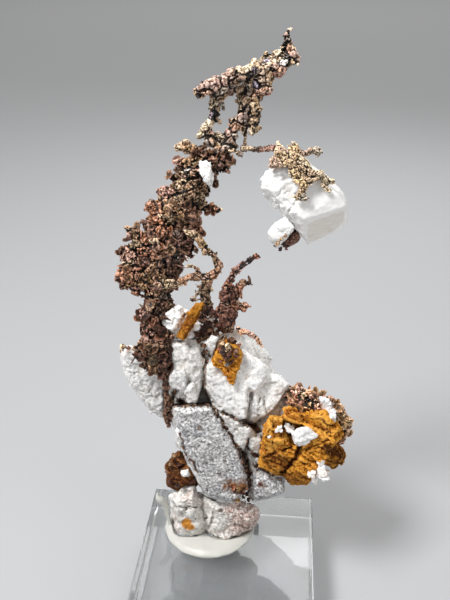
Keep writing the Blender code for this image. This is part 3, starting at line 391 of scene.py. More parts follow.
def scattered(obj, rng, count):
    """Places spread evenly over a working object's faces, each with its normal."""
    mesh = obj.data
    mesh.calc_loop_triangles()
    areas = np.array([t.area for t in mesh.loop_triangles])
    steps = np.cumsum(areas)
    found = []
    for _ in range(count):
        t = mesh.loop_triangles[min(int(np.searchsorted(steps, rng.random() * steps[-1])), len(areas) - 1)]
        a, b, c = (mesh.vertices[i].co for i in t.vertices)
        u, v = rng.random(), rng.random()
        if u + v > 1.0:
            u, v = 1.0 - u, 1.0 - v
        found.append((a + (b - a) * u + (c - a) * v, t.normal.copy()))
    return found


def show(name, obj, mat, nodes, flat=False):
    """Puts a finished piece in its place, in its material, riding on the specimen."""
    obj.name = name
    obj.data.name = name
    obj.data.transform(TO_PART)
    obj.data.materials.clear()
    obj.data.materials.append(mat)
    if flat:
        obj.data.shade_flat()
    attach(obj, "root")
    if nodes:
        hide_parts(*nodes)


def join(first, other):
    """Joins one working object into another."""
    bm = bmesh.new()
    bm.from_mesh(first.data)
    bm.from_mesh(other.data)
    bm.to_mesh(first.data)
    bm.free()
    mesh = other.data
    bpy.data.objects.remove(other)
    bpy.data.meshes.remove(mesh)


# Materials

# The inputs of a colour mix: the share of the upper colour, the lower one, the upper one
SHARE, UNDER, OVER = 0, 6, 7


def per(size):
    """A pattern's scale from its real size in millimetres."""
    return 1.0 / (size * MM)


def wire(node, inputs):
    """Sets a node's inputs to numbers, colours as sRGB hex, or the sockets or nodes that feed them."""
    for key, value in inputs.items():
        socket = node.inputs[key]
        if isinstance(value, bpy.types.Node):
            value = next(result for result in value.outputs if result.enabled)
        if isinstance(value, bpy.types.NodeSocket):
            node.id_data.links.new(value, socket)
        else:
            socket.default_value = colour(value) if isinstance(value, str) else value
    return node


def add(tree, kind, inputs=None, **settings):
    """Adds a node of one kind, with its settings and its inputs."""
    node = tree.nodes.new("ShaderNode" + kind)
    for name, value in settings.items():
        setattr(node, name, value)
    return wire(node, inputs or {})


def blank(name):
    """A new material with its nodes and its shader, and the place of each point for its patterns."""
    mat = bpy.data.materials.new(name)
    mat.use_nodes = True
    tree = mat.node_tree
    return mat, tree, tree.nodes["Principled BSDF"], add(tree, "TexCoord").outputs["Object"]


def tarnished_copper():
    """Native copper that grew as crystals in rock and tarnished there.

    Each crystal has its own oxide film: almost black in the hollows, partly oxide and partly painted shade,
    and paler on its edges, partly rubbed and partly a painted highlight.
    """
    mat, tree, shader, place = blank("tarnished_copper")
    relief, own = [add(tree, "Attribute", attribute_name=mark).outputs["Fac"]
                   for mark in ("relief", "number")]
    film = add(tree, "Attribute", attribute_name="film").outputs["Color"]
    # Patches of tarnish about 2.5 mm across, and oxide grains about 0.4 mm across
    patches = add(tree, "TexNoise", {"Vector": place, "Scale": per(2.5), "Detail": 4.0})
    grains = add(tree, "TexNoise", {"Vector": place, "Scale": per(0.4), "Detail": 4.0, "Roughness": 0.7})
    shade = add(tree, "Math", {0: own, 1: 0.4, 2: patches}, operation="MULTIPLY_ADD")
    deeper = add(tree, "MapRange", {"Value": shade, "From Min": 0.45, "From Max": 0.9, "To Max": 0.5})
    body = add(tree, "Mix", {SHARE: deeper, UNDER: film, OVER: "#4C2C1A"}, data_type="RGBA")
    # The film lightened for the ridges: partly rubbed wear, partly painted highlight
    pale = add(tree, "HueSaturation", {"Color": film, "Value": 3.2, "Saturation": 0.72})
    # The grains break up the border between hollow, body and pale edge: painted shade and highlight over the
    # oxide and its wear
    speck = add(tree, "Math", {0: grains, 1: 0.5}, operation="SUBTRACT")
    jitter = add(tree, "Math", {0: speck, 1: 1.7, 2: relief}, operation="MULTIPLY_ADD")
    rise = add(tree, "MapRange", {"Value": jitter, "From Min": 0.25, "From Max": 0.53})
    crown = add(tree, "MapRange", {"Value": jitter, "From Min": 0.6, "From Max": 0.98})
    # Hollows go almost black and ridges pale: painted shade and highlight, partly oxide and wear
    low = add(tree, "Mix", {SHARE: rise, UNDER: "#100907", OVER: body}, data_type="RGBA")
    high = add(tree, "Mix", {SHARE: crown, UNDER: low, OVER: pale}, data_type="RGBA")
    # Bare metal shows only a little, through the thin film on the edges
    rubbed = add(tree, "MapRange", {"Value": jitter, "From Min": 0.3, "From Max": 0.9, "To Min": 0.05,
                                    "To Max": 0.25})
    dull = add(tree, "MapRange", {"Value": grains, "From Min": 0.35, "From Max": 0.65, "To Min": 0.7,
                                  "To Max": 0.45})
    bump = add(tree, "Bump", {"Height": grains, "Strength": 0.6, "Distance": 0.12 * MM})
    wire(shader, {"Base Color": high, "Metallic": rubbed, "Roughness": dull, "Normal": bump})
    return mat


def weathered_calcite(name, white, grey, dirt_and_shade, crack, rust_tone, warmth):
    """Calcite, cleaved and long weathered: chalk white with grey translucent parts, brown in its cracks; its
    white and grey are partly painted light and shade.
    """
    mat, tree, shader, place = blank(name)
    slab, deep, rust, relief, shine = [add(tree, "Attribute", attribute_name=mark).outputs["Fac"]
                                       for mark in ("slab", "crevice", "rust", "relief", "shine")]
    clouds = add(tree, "TexNoise", {"Vector": place, "Scale": per(4.0), "Detail": 4.0})
    grains = add(tree, "TexNoise", {"Vector": place, "Scale": per(0.5), "Detail": 4.0, "Roughness": 0.7})
    veil = add(tree, "MapRange", {"Value": clouds, "From Min": 0.5, "From Max": 0.68, "To Max": 0.5})
    # The slab mark's grey is partly the stone's own and partly painted shade
    both = add(tree, "Math", {0: veil, 1: slab}, operation="ADD", use_clamp=True)
    # Painted light: the shine mark whitens the lit right mass and the left wing
    painted_bright = add(tree, "Mix", {SHARE: shine, UNDER: white, OVER: "#F7F6F3"}, data_type="RGBA")
    base = add(tree, "Mix", {SHARE: both, UNDER: painted_bright, OVER: grey}, data_type="RGBA")
    # Sugary grains, white in part and painted whiter as glints where they would catch the light. The real
    # ones are finer: 0.5 mm is as coarse as they need to show
    sugar = add(tree, "MapRange", {"Value": grains, "From Min": 0.505, "From Max": 0.6, "To Max": 0.95})
    glint = add(tree, "Mix", {SHARE: sugar, UNDER: base, OVER: "#FAF9F7"}, data_type="RGBA")
    # Dark mineral specks between them, thickest on the grey slab
    specks = add(tree, "MapRange", {"Value": grains, "From Min": 0.475, "From Max": 0.385, "To Max": 1.0})
    some = add(tree, "Math", {0: slab, 1: 0.75, 2: 0.35}, operation="MULTIPLY_ADD")
    shown = add(tree, "Math", {0: specks, 1: some}, operation="MULTIPLY")
    dotted = add(tree, "Mix", {SHARE: shown, UNDER: glint, OVER: "#4C4744"}, data_type="RGBA")
    # Hollows take a brownish tint: partly dirt, partly painted shade
    warm = add(tree, "MapRange", {"Value": relief, "From Min": 0.5, "From Max": 0.2, "To Max": warmth})
    toned = add(tree, "Mix", {SHARE: warm, UNDER: dotted, OVER: dirt_and_shade}, data_type="RGBA")
    rusty = add(tree, "Mix", {SHARE: rust, UNDER: toned, OVER: rust_tone}, data_type="RGBA")
    cracked = add(tree, "Mix", {SHARE: deep, UNDER: rusty, OVER: crack}, data_type="RGBA")
    bump = add(tree, "Bump", {"Height": grains, "Strength": 0.6, "Distance": 0.2 * MM})
    wire(shader, {"Base Color": cracked, "Roughness": 0.62, "IOR": 1.6, "Specular IOR Level": 0.35,
                  "Normal": bump})
    return mat


def fresh_calcite():
    """Fresh calcite crystal: bright white with a faint glow, its faces satin where they cleaved."""
    mat, tree, shader, place = blank("fresh_calcite")
    shade, rust = [add(tree, "Attribute", attribute_name=mark).outputs["Fac"] for mark in ("shade", "rust")]
    clouds = add(tree, "TexNoise", {"Vector": place, "Scale": per(3.0), "Detail": 5.0})
    grains = add(tree, "TexNoise", {"Vector": place, "Scale": per(0.6), "Detail": 4.0})
    veil = add(tree, "MapRange", {"Value": clouds, "From Min": 0.5, "From Max": 0.7, "To Max": 0.3})
    base = add(tree, "Mix", {SHARE: veil, UNDER: "#FCFBF9", OVER: "#D9DCE2"}, data_type="RGBA")
    # The shade mark paints beige: painted shade on the hanging crystal's end face and in dents, a random tint
    # on chips
    warm = add(tree, "Mix", {SHARE: shade, UNDER: base, OVER: "#C2AB8C"}, data_type="RGBA")
    rusty = add(tree, "Mix", {SHARE: rust, UNDER: warm, OVER: "#8F6A3A"}, data_type="RGBA")
    bump = add(tree, "Bump", {"Height": grains, "Strength": 0.3, "Distance": 0.15 * MM})
    wire(shader, {"Base Color": rusty, "Roughness": 0.38, "IOR": 1.6, "Subsurface Weight": 0.15,
                  "Subsurface Radius": (1.0, 0.95, 0.9), "Subsurface Scale": 0.6 * MM, "Normal": bump})
    return mat


def earthy_limonite(name, yellow, ochre, brown, hollow):
    """Limonite, an earthy iron rust: dead matt, ochre and brown, its ridges painted yellow as highlight and
    its hollows brown to black as painted shade.
    """
    mat, tree, shader, place = blank(name)
    relief, deep, light, own = [add(tree, "Attribute", attribute_name=mark).outputs["Fac"]
                                for mark in ("relief", "crevice", "shine", "number")]
    clouds = add(tree, "TexNoise", {"Vector": place, "Scale": per(3.5), "Detail": 5.0, "Roughness": 0.6})
    grains = add(tree, "TexNoise", {"Vector": place, "Scale": per(0.4), "Detail": 5.0, "Roughness": 0.7})
    speck = add(tree, "Math", {0: grains, 1: 0.5}, operation="SUBTRACT")
    jitter = add(tree, "Math", {0: speck, 1: 1.5, 2: relief}, operation="MULTIPLY_ADD")
    mixed = add(tree, "Math", {0: own, 1: 0.2, 2: clouds}, operation="MULTIPLY_ADD")
    part = add(tree, "MapRange", {"Value": mixed, "From Min": 0.5, "From Max": 0.7})
    body = add(tree, "Mix", {SHARE: part, UNDER: brown, OVER: ochre}, data_type="RGBA")
    # Painted shade darkens the hollows and a painted highlight turns the ridges yellow
    rise = add(tree, "MapRange", {"Value": jitter, "From Min": 0.18, "From Max": 0.45})
    crown = add(tree, "MapRange", {"Value": jitter, "From Min": 0.5, "From Max": 0.85, "To Max": 0.85})
    low = add(tree, "Mix", {SHARE: rise, UNDER: hollow, OVER: body}, data_type="RGBA")
    high = add(tree, "Mix", {SHARE: crown, UNDER: low, OVER: yellow}, data_type="RGBA")
    # The ridges painted yellow as lit keep some of the darker grains
    some = add(tree, "Math", {0: light, 1: rise}, operation="MULTIPLY")
    lit = add(tree, "Mix", {SHARE: some, UNDER: high, OVER: yellow}, data_type="RGBA")
    # Clefts and darkened lines take the hollow colour, on the ochre limonite partly as painted shade
    dark = add(tree, "Mix", {SHARE: deep, UNDER: lit, OVER: hollow}, data_type="RGBA")
    bump = add(tree, "Bump", {"Height": grains, "Strength": 0.7, "Distance": 0.2 * MM})
    wire(shader, {"Base Color": dark, "Roughness": 0.92, "Specular IOR Level": 0.2, "Normal": bump})
    return mat


def mounting_putty():
    """White mounting putty, a wax and chalk paste: smooth and creamy, faintly waxy where it was pressed."""
    mat, tree, shader, place = blank("mounting_putty")
    clouds = add(tree, "TexNoise", {"Vector": place, "Scale": per(5.0), "Detail": 3.0})
    prints = add(tree, "TexNoise", {"Vector": place, "Scale": per(1.4), "Detail": 2.0})
    base = add(tree, "Mix", {SHARE: clouds, UNDER: "#D3D3CE", OVER: "#C5C4BB"}, data_type="RGBA")
    bump = add(tree, "Bump", {"Height": prints, "Strength": 0.2, "Distance": 0.2 * MM})
    wire(shader, {"Base Color": base, "Roughness": 0.42, "Subsurface Weight": 0.12,
                  "Subsurface Radius": (1.0, 0.9, 0.75), "Subsurface Scale": 0.8 * MM, "Normal": bump})
    return mat


def clear_acrylic():
    """Cast acrylic, sawn and flame polished: water clear, glossy, with faint ripples on its faces."""
    mat, tree, shader, place = blank("clear_cast_acrylic")
    ripple = add(tree, "TexNoise", {"Vector": place, "Scale": per(9.0), "Detail": 1.0})
    bump = add(tree, "Bump", {"Height": ripple, "Strength": 0.12, "Distance": 0.3 * MM})
    wire(shader, {"Base Color": "#FBFDFD", "Roughness": 0.03, "IOR": 1.49, "Transmission Weight": 1.0,
                  "Normal": bump})
    return mat


def milky_quartz():
    """Small quartz grains: milky white, glassy faces."""
    mat, tree, shader, place = blank("milky_quartz")
    clouds = add(tree, "TexNoise", {"Vector": place, "Scale": per(1.2), "Detail": 3.0})
    base = add(tree, "Mix", {SHARE: clouds, UNDER: "#EFEFF1", OVER: "#C9C6C4"}, data_type="RGBA")
    wire(shader, {"Base Color": base, "Roughness": 0.22, "IOR": 1.55})
    return mat


# The places of the small things on the stone, as drawn

# Where the calcite blocks part: how dark and deep, then the line as drawn with its half widths
CREVICES = (
    # Between the top blocks and the front slab
    (1.0, ((-7.4, 35.1, 0.6), (-5.0, 34.8, 0.55), (-2.5, 35.2, 0.6), (0.2, 35.4, 0.7))),
    # The pocket left of the low lump
    (1.0, ((-7.5, 35.2, 1.0), (-7.2, 37.2, 0.9), (-6.4, 38.9, 0.6))),
    (1.0, ((-5.6, 36.6, 0.7), (-4.9, 35.2, 0.8))),
    # Beside the left wing
    (1.0, ((-8.4, 43.0, 0.6), (-8.3, 38.0, 0.8), (-8.2, 33.0, 0.8), (-8.4, 29.4, 0.5))),
    # The long crevice down the right side of the front slab
    (1.0, ((0.2, 35.3, 0.55), (1.4, 33.4, 0.5), (2.7, 31.0, 0.4), (4.1, 28.0, 0.42), (5.5, 25.0, 0.5),
           (6.9, 22.4, 1.0), (7.8, 19.8, 1.15), (8.4, 17.0, 0.8), (8.7, 14.5, 0.5), (8.8, 12.0, 0.45))),
    # The vein from it to the right
    (0.8, ((2.7, 33.2, 0.4), (4.3, 32.5, 0.3), (5.8, 31.3, 0.35), (7.6, 30.0, 0.45), (9.4, 29.4, 0.9),
           (10.4, 28.6, 0.9))),
    # Between the top block and the middle mass
    (0.9, ((-1.0, 48.0, 0.25), (-0.5, 46.2, 0.35), (-0.3, 45.2, 0.25))),
    # Below it a band, shallowly carved and painted darker as shade
    (0.35, ((-0.6, 44.6, 0.5), (-0.8, 42.0, 0.6), (-0.7, 39.0, 0.5), (0.2, 36.8, 0.6))),
    # Round the lump beside the limonite
    (0.9, ((8.2, 26.6, 0.3), (7.9, 24.4, 0.35), (9.2, 22.4, 0.5), (10.8, 21.4, 0.8))),
    (0.9, ((9.6, 19.4, 0.7), (11.4, 18.2, 1.1), (14.0, 16.6, 0.8))),
    # Down the left edge of the slab
    (0.6, ((-6.2, 28.6, 0.25), (-5.6, 25.0, 0.3), (-4.9, 22.0, 0.35), (-3.4, 19.6, 0.45), (-2.4, 17.0, 0.4))),
)

# Thin cracks, as drawn lines with half widths
THIN_CRACKS = (
    ((10.2, 38.5, 0.2), (10.5, 36.0, 0.28), (10.0, 33.4, 0.25), (10.7, 31.2, 0.35)),
    ((11.4, 37.0, 0.25), (11.3, 34.6, 0.3), (12.4, 33.0, 0.3)),
    ((7.9, 37.6, 0.16), (8.3, 35.0, 0.2), (8.1, 32.6, 0.22)),
    ((5.2, 34.2, 0.14), (6.4, 32.6, 0.2)),
    ((13.4, 34.6, 0.35), (15.4, 34.4, 0.4), (17.0, 34.4, 0.3)),
    ((-5.2, 43.0, 0.12), (-3.4, 40.0, 0.16)),
    ((3.9, 29.6, 0.12), (6.0, 28.4, 0.16)),
    ((-0.4, 14.8, 0.3), (-0.5, 11.8, 0.35)),
)


# Single pits: x, z and radius
PITS = (
    (-2.2, 29.0, 0.75), (-1.3, 28.9, 0.6), (1.5, 25.0, 0.5), (-5.6, 30.6, 0.6), (-4.6, 31.4, 0.4),
    (4.6, 36.6, 0.4), (3.2, 20.2, 0.5), (2.0, 16.6, 0.5), (0.4, 21.8, 0.4),
)

# The outline of the grey slab in front; its grey is partly its own and partly painted shade on its front face
FRONT_SLAB = [
    (-7, 34.5), (-6.8, 31), (-6, 28), (-5.8, 24.5), (-5, 21), (-2.5, 17), (-2.2, 14), (-0.5, 10.3), (3, 8.7),
    (6, 8.6), (8.2, 13), (7.8, 17), (7.3, 20), (5.5, 25), (2.7, 31), (1.5, 33.5), (0, 35),
]

# Rust-stained places: x, z, radius and how strong
RUST_SPOTS = (
    (4.2, 13.6, 2.4, 1.0), (6.8, 12.8, 3.4, 1.0), (9.0, 9.4, 1.3, 0.8), (6.5, 8.9, 1.8, 0.9),
    (-15.2, 48.6, 1.6, 0.6), (-16.6, 49.0, 1.2, 0.5), (-11.0, 47.0, 1.6, 0.6), (9.7, 29.4, 1.5, 0.9),
    (3.0, 44.0, 2.4, 0.5), (11.6, 13.6, 1.4, 0.7), (8.6, 17.5, 1.4, 0.7), (2.2, 46.5, 2.2, 0.5),
    (14.4, 38.6, 1.6, 0.35), (-7.6, 33.5, 1.2, 0.5), (4.0, 31.4, 0.9, 0.5), (-2.0, 29.0, 1.0, 0.6),
)

# The left wing ends at WING_RIGHT. The rough part at the lower right is right of LOW_LEFT and below LOW_TOP,
# and the part painted brighter, as light falling on it, is right of BRIGHT_LEFT and above BRIGHT_FOOT
WING_RIGHT = -8.2
LOW_LEFT, LOW_TOP = 8.6, 19.0
BRIGHT_LEFT, BRIGHT_FOOT = 0.5, 31.0

# The foot turns pink right of PINK_LEFT and above PINK_FOOT
PINK_LEFT, PINK_FOOT = 2.6, -2.5

# The foot's creases as lines, its pits and its rust spots as x, z and radius
FOOT_CREASES = (
    ((-1.9, 12.0, 0.5), (-1.6, 7.0, 0.6), (-0.9, 2.0, 0.6), (-0.8, -3.0, 0.5)),
    ((0.9, 5.6, 0.4), (0.4, 2.0, 0.35)),
    ((6.0, 1.4, 0.4), (8.6, 0.6, 0.3)),
    ((-7.8, 7.4, 0.3), (-5.4, 6.9, 0.4), (-2.6, 7.2, 0.3)),
)

FOOT_PITS = (
    (2.4, 6.0, 0.8), (-1.0, 3.8, 0.45), (-5.4, 6.4, 0.4), (-3.6, 6.8, 0.35), (-2.0, 9.4, 0.3),
    (-6.6, 3.6, 0.3), (-3.2, 3.4, 0.3), (0.6, 8.2, 0.3), (-5.2, 8.9, 0.3),
)

FOOT_RUST = ((-5.1, 2.6, 1.3), (-4.8, 0.9, 1.5), (-5.3, 1.7, 1.5))

# How the limonite's plates slant
PLATES = Euler((0.35, math.radians(32), 0.0))

# Clefts in the ochre limonite, each a line and its depth
OCHRE_CLEFTS = (
    (((19.2, 24.2, 0.6), (18.9, 22.5, 1.0), (17.9, 20.2, 1.0), (16.9, 18.4, 0.8), (15.6, 17.2, 0.5)), 1.6),
    (((11.6, 21.2, 0.4), (13.6, 22.4, 0.6), (16.0, 23.4, 0.5), (17.4, 24.4, 0.4)), 0.8),
    (((19.4, 23.0, 0.3), (22.0, 24.2, 0.35), (25.0, 26.0, 0.3)), 0.4),
)

# The limonite's ridges painted yellow as lit, and its hollows and lower parts painted darker brown,
# partly its own browner tone and partly painted shade; each a line and how strong
OCHRE_LIT = (
    (((12.4, 27.5, 0.9), (12.8, 30.6, 0.9), (14.2, 32.0, 0.8), (16.5, 30.9, 0.9),
      (19.0, 30.0, 0.9), (21.6, 28.8, 0.9), (24.5, 27.8, 1.0), (26.6, 28.4, 0.8)), 0.9),
    (((12.8, 23.8, 1.4), (14.6, 26.0, 1.8), (16.0, 27.2, 1.4)), 1.0),
    (((20.4, 25.0, 1.0), (24.6, 26.6, 1.0)), 0.6),
    (((22.6, 32.6, 1.0), (23.6, 31.2, 1.2), (24.8, 29.8, 1.0)), 1.0),
)

OCHRE_DARKENED = (
    (((12.4, 20.6, 1.6), (16.4, 21.4, 2.0), (16.0, 16.0, 2.0), (20.0, 15.4, 1.8)), 0.6),
    (((13.6, 29.8, 0.9), (16.0, 29.0, 0.9)), 0.5),
    (((24.8, 23.6, 1.6), (27.8, 22.4, 3.0), (27.0, 19.4, 2.6)), 1.0),
    (((13.0, 19.4, 1.6), (15.6, 15.6, 2.4), (20.4, 14.4, 2.2)), 0.45),
)

SHEET_BROWNED = (
    (((-1.6, 57.8, 2.6), (-4.9, 51.2, 2.6)), 0.3),
    (((-3.4, 57.8, 0.5), (-5.9, 51.4, 0.6)), 0.8),
    (((-0.7, 58.0, 0.5), (-2.4, 54.4, 0.5), (-4.4, 50.8, 0.5)), 0.9),
)

# A ridge on the limonite patch, painted yellow as lit
PATCH_LIT = ((((5.4, 48.6, 0.8), (6.2, 46.8, 0.7)), 0.8),)

# Small crystals set on the stone: x, z, width and height
BROWN_LIMONITE_CRYSTALS = ((-5.0, 17.3, 1.6, 1.5),)

LIMONITE_CRYSTALS = (
    (14.6, 29.3, 1.1, 1.5), (17.1, 28.9, 1.4, 0.7), (12.8, 26.7, 0.6, 1.1), (22.2, 17.2, 1.1, 1.7),
)

CORNER_CRYSTALS = (
    (23.9, 19.6, 1.5, 1.7), (23.5, 18.2, 2.1, 2.5), (22.9, 16.9, 1.4, 1.5), (24.3, 17.4, 1.5, 1.6),
)

CRUST_CRYSTALS = (
    (23.8, 35.2, 1.7, 2.3), (23.0, 36.2, 1.1, 0.9), (24.4, 34.0, 1.2, 1.4), (25.2, 33.0, 1.4, 1.7),
    (25.4, 31.6, 1.5, 2.2), (25.6, 30.2, 1.3, 1.6), (18.5, 31.3, 1.2, 1.0), (19.6, 31.2, 1.2, 0.9),
    (25.4, 35.4, 0.8, 1.0),
)

# Rust spots on the upper calcite: x, z, radius and how strong
UPPER_CALCITE_RUST = (
    (-4.6, 55.8, 0.5, 1.0), (-4.2, 56.2, 0.35, 1.0), (-4.9, 55.2, 0.3, 1.0),
    (-5.6, 54.0, 0.3, 0.8), (-6.2, 57.0, 0.3, 0.6), (-1.0, 49.0, 0.3, 0.8),
)

# The hanging crystal is chipped left of this x, and its lower right end face is painted beige as shade
HANGING_CRYSTAL_BREAK = 15.5
HANGING_CRYSTAL_SHADES = (
    ([(18.0, 74.3), (19.5, 75.4), (21.4, 75.9), (24.4, 77.0), (24.6, 75.6), (24.0, 74.4), (21.7, 72.4),
      (19.2, 71.3), (18.2, 71.2)], 0.35),
)

# A long crystal in front of the neck: both ends, width and depth
GREY_BARS = ((-2.2, 53.6, -3.9, 50.3, 0.7, -3.0),)


# How the copper's crystals tarnished: the colour of each kind of oxide film
TARNISH = {
    "cream": "#C4AA82", "rosy": "#9E7260", "tan": "#94724A", "gold": "#9A7436", "olive": "#766A44",
    "orange": "#A0602F", "brown": "#6C4427", "rust": "#8A4318", "maroon": "#582B1D", "dark": "#2E1A12",
    "grey": "#857D74", "lilac": "#8C84A4", "yellow": "#C89C4C", "white": "#DCD8D2", "pale_rust": "#C0844F",
}


# Knobs and plates of the copper as drawn: both ends, the half width and the tarnish


PLUME = (
    (-4.4, 88.3, -4.1, 88.4, 0.75, "cream"), (-3.2, 88.2, -2.0, 88.3, 0.7, "gold"),
    (-1.5, 88.0, 0.0, 87.4, 0.5, "brown"), (0.4, 87.6, 1.4, 87.2, 0.6, "tan"),
    (-4.6, 85.5, -4.0, 85.9, 0.75, "rosy"), (-3.2, 85.8, -2.2, 86.2, 0.75, "gold"),
    (-1.6, 85.2, -1.4, 85.2, 0.65, "olive"), (-6.3, 83.2, -5.0, 83.7, 0.65, "tan"),
    (-4.2, 83.9, -4.0, 83.9, 0.35, "cream"), (-3.2, 84.2, -2.8, 84.2, 0.45, "white"),
    (-2.4, 83.3, -1.8, 83.3, 0.8, "tan"), (-3.4, 83.0, -3.0, 83.0, 0.5, "rosy"),
    (-4.7, 81.7, -3.8, 82.5, 0.7, "cream"), (-3.4, 81.3, -3.0, 81.3, 0.7, "tan"),
    (-2.4, 82.3, -2.0, 82.3, 0.65, "tan"), (-1.4, 82.6, -1.1, 82.6, 0.5, "dark"),
    (-0.6, 81.0, -0.3, 81.2, 0.55, "tan"), (-4.7, 80.4, -4.4, 80.4, 0.45, "dark"),
    (-4.0, 79.8, -3.7, 80.0, 0.4, "cream"), (-2.8, 80.2, -2.3, 80.2, 0.65, "tan"),
    (-1.0, 80.0, -0.3, 79.0, 0.65, "olive"), (-0.7, 78.4, -0.4, 78.2, 0.5, "olive"),
    (-8.0, 80.6, -6.9, 81.1, 0.65, "rosy"), (-6.4, 80.3, -5.5, 79.9, 0.6, "rosy"),
    (-8.2, 79.5, -8.0, 79.2, 0.35, "olive"), (-5.4, 79.2, -4.6, 79.6, 0.55, "cream"),
    (-9.5, 77.8, -8.8, 77.3, 1.1, "orange"), (-10.1, 78.2, -9.6, 78.8, 0.4, "cream"),
    (-6.6, 77.7, -5.4, 77.5, 0.8, "tan"), (-8.2, 76.0, -6.0, 76.1, 0.42, "cream"),
    (-9.9, 75.2, -7.8, 75.3, 0.65, "orange"), (-10.0, 74.3, -8.8, 74.1, 0.5, "rosy"),
    (-8.4, 73.2, -7.9, 73.2, 0.75, "orange"), (-6.9, 73.5, -6.4, 73.6, 0.6, "orange"),
    (-5.0, 76.2, -4.6, 76.2, 0.7, "gold"), (-6.3, 75.0, -5.9, 75.0, 0.6, "olive"),
    (-5.1, 74.3, -4.7, 74.2, 0.6, "brown"), (-3.6, 77.2, -3.2, 77.2, 0.6, "brown"),
    (-2.6, 76.2, -2.2, 76.0, 0.8, "brown"), (-1.5, 75.7, -1.2, 75.4, 0.7, "rosy"),
    (-2.4, 74.4, -2.0, 74.2, 0.7, "brown"), (-1.2, 73.7, -1.0, 73.4, 0.6, "orange"),
    (-3.7, 73.8, -3.4, 73.4, 0.5, "rosy"), (-3.8, 75.2, -3.5, 74.8, 0.5, "tan"),
    (-5.6, 72.8, -5.3, 72.7, 0.4, "grey"), (-4.1, 71.0, -3.1, 71.6, 0.6, "maroon"),
    (-5.4, 71.3, -5.1, 70.8, 0.6, "rosy"), (-6.8, 71.6, -6.3, 71.6, 0.6, "maroon"),
    (-6.6, 70.2, -6.2, 69.8, 0.5, "olive"), (0.2, 77.4, 0.5, 77.4, 0.4, "rosy"),
    (1.3, 78.0, 1.7, 77.0, 0.7, "orange"), (2.3, 76.8, 2.8, 77.2, 0.35, "cream"),
    (-13.1, 73.6, -11.4, 72.3, 0.75, "tan"), (-11.4, 72.5, -10.8, 71.0, 0.75, "orange"),
    (-13.4, 70.1, -11.7, 70.6, 0.65, "olive"), (-9.9, 71.2, -9.0, 71.2, 0.5, "cream"),
    (-14.2, 69.1, -13.4, 69.3, 0.75, "rosy"), (-12.3, 69.6, -10.6, 69.9, 0.45, "orange"),
    (-11.6, 68.7, -10.0, 69.0, 0.45, "rust"), (-9.4, 70.0, -8.4, 69.4, 0.5, "brown"),
    (-14.3, 66.4, -13.6, 66.6, 0.5, "cream"), (-13.8, 65.7, -12.6, 65.8, 0.6, "orange"),
    (-12.4, 66.8, -10.8, 67.2, 0.5, "maroon"), (-14.2, 65.0, -13.8, 64.8, 0.5, "rust"),
    (-15.4, 63.7, -14.4, 63.4, 0.75, "orange"), (-15.9, 63.6, -15.8, 63.6, 0.4, "rosy"),
    (-14.4, 62.6, -14.1, 62.5, 0.55, "gold"), (-13.9, 61.9, -12.9, 61.9, 0.45, "rosy"),
    (-12.7, 62.6, -11.4, 62.3, 0.5, "gold"), (-13.4, 60.7, -13.2, 60.6, 0.6, "orange"),
    (-12.4, 60.3, -12.2, 60.2, 0.45, "orange"), (-12.0, 64.2, -10.7, 63.6, 0.5, "gold"),
    (-11.5, 64.2, -9.8, 66.6, 0.36, "tan"), (-10.4, 67.6, -9.2, 68.4, 0.4, "brown"),
    (-12.8, 64.2, -12.6, 64.8, 0.45, "brown"), (-8.3, 68.0, -8.0, 65.6, 0.5, "dark"),
    (-7.0, 67.4, -6.8, 65.0, 0.5, "dark"), (-5.9, 67.0, -5.6, 65.0, 0.5, "dark"),
    (-4.7, 66.6, -4.6, 65.4, 0.5, "dark"), (-7.4, 69.6, -6.8, 68.8, 0.5, "brown"),
    (-5.0, 69.6, -4.4, 69.0, 0.6, "dark"), (-5.4, 68.0, -5.2, 68.0, 0.25, "white"),
    (-4.2, 68.2, -4.0, 68.8, 0.42, "white"), (-2.9, 70.3, -2.7, 68.6, 0.7, "maroon"),
    (-2.8, 71.4, -2.4, 71.4, 0.45, "dark"), (-2.2, 71.5, -2.0, 71.6, 0.3, "grey"),
    (-10.2, 61.6, -9.2, 61.8, 0.5, "brown"), (1.5, 86.7, 1.8, 86.4, 0.6, "brown"),
    (3.2, 86.4, 3.6, 86.0, 0.7, "dark"), (2.5, 85.3, 2.8, 85.0, 0.7, "dark"),
    (3.5, 84.4, 3.8, 84.2, 0.6, "dark"), (4.7, 85.8, 5.0, 85.4, 0.6, "dark"),
    # The four knobs on the next two lines, pale along the plume's top right, are painted highlights
    (4.0, 87.6, 4.9, 87.7, 0.5, "cream"), (3.0, 88.0, 3.4, 88.3, 0.5, "grey"),
    (2.0, 88.0, 2.4, 88.2, 0.5, "tan"), (5.7, 87.3, 6.2, 86.8, 0.5, "grey"),
    (1.3, 83.6, 1.6, 81.4, 0.5, "dark"), (3.2, 84.9, 3.4, 84.8, 0.22, "white"),
)

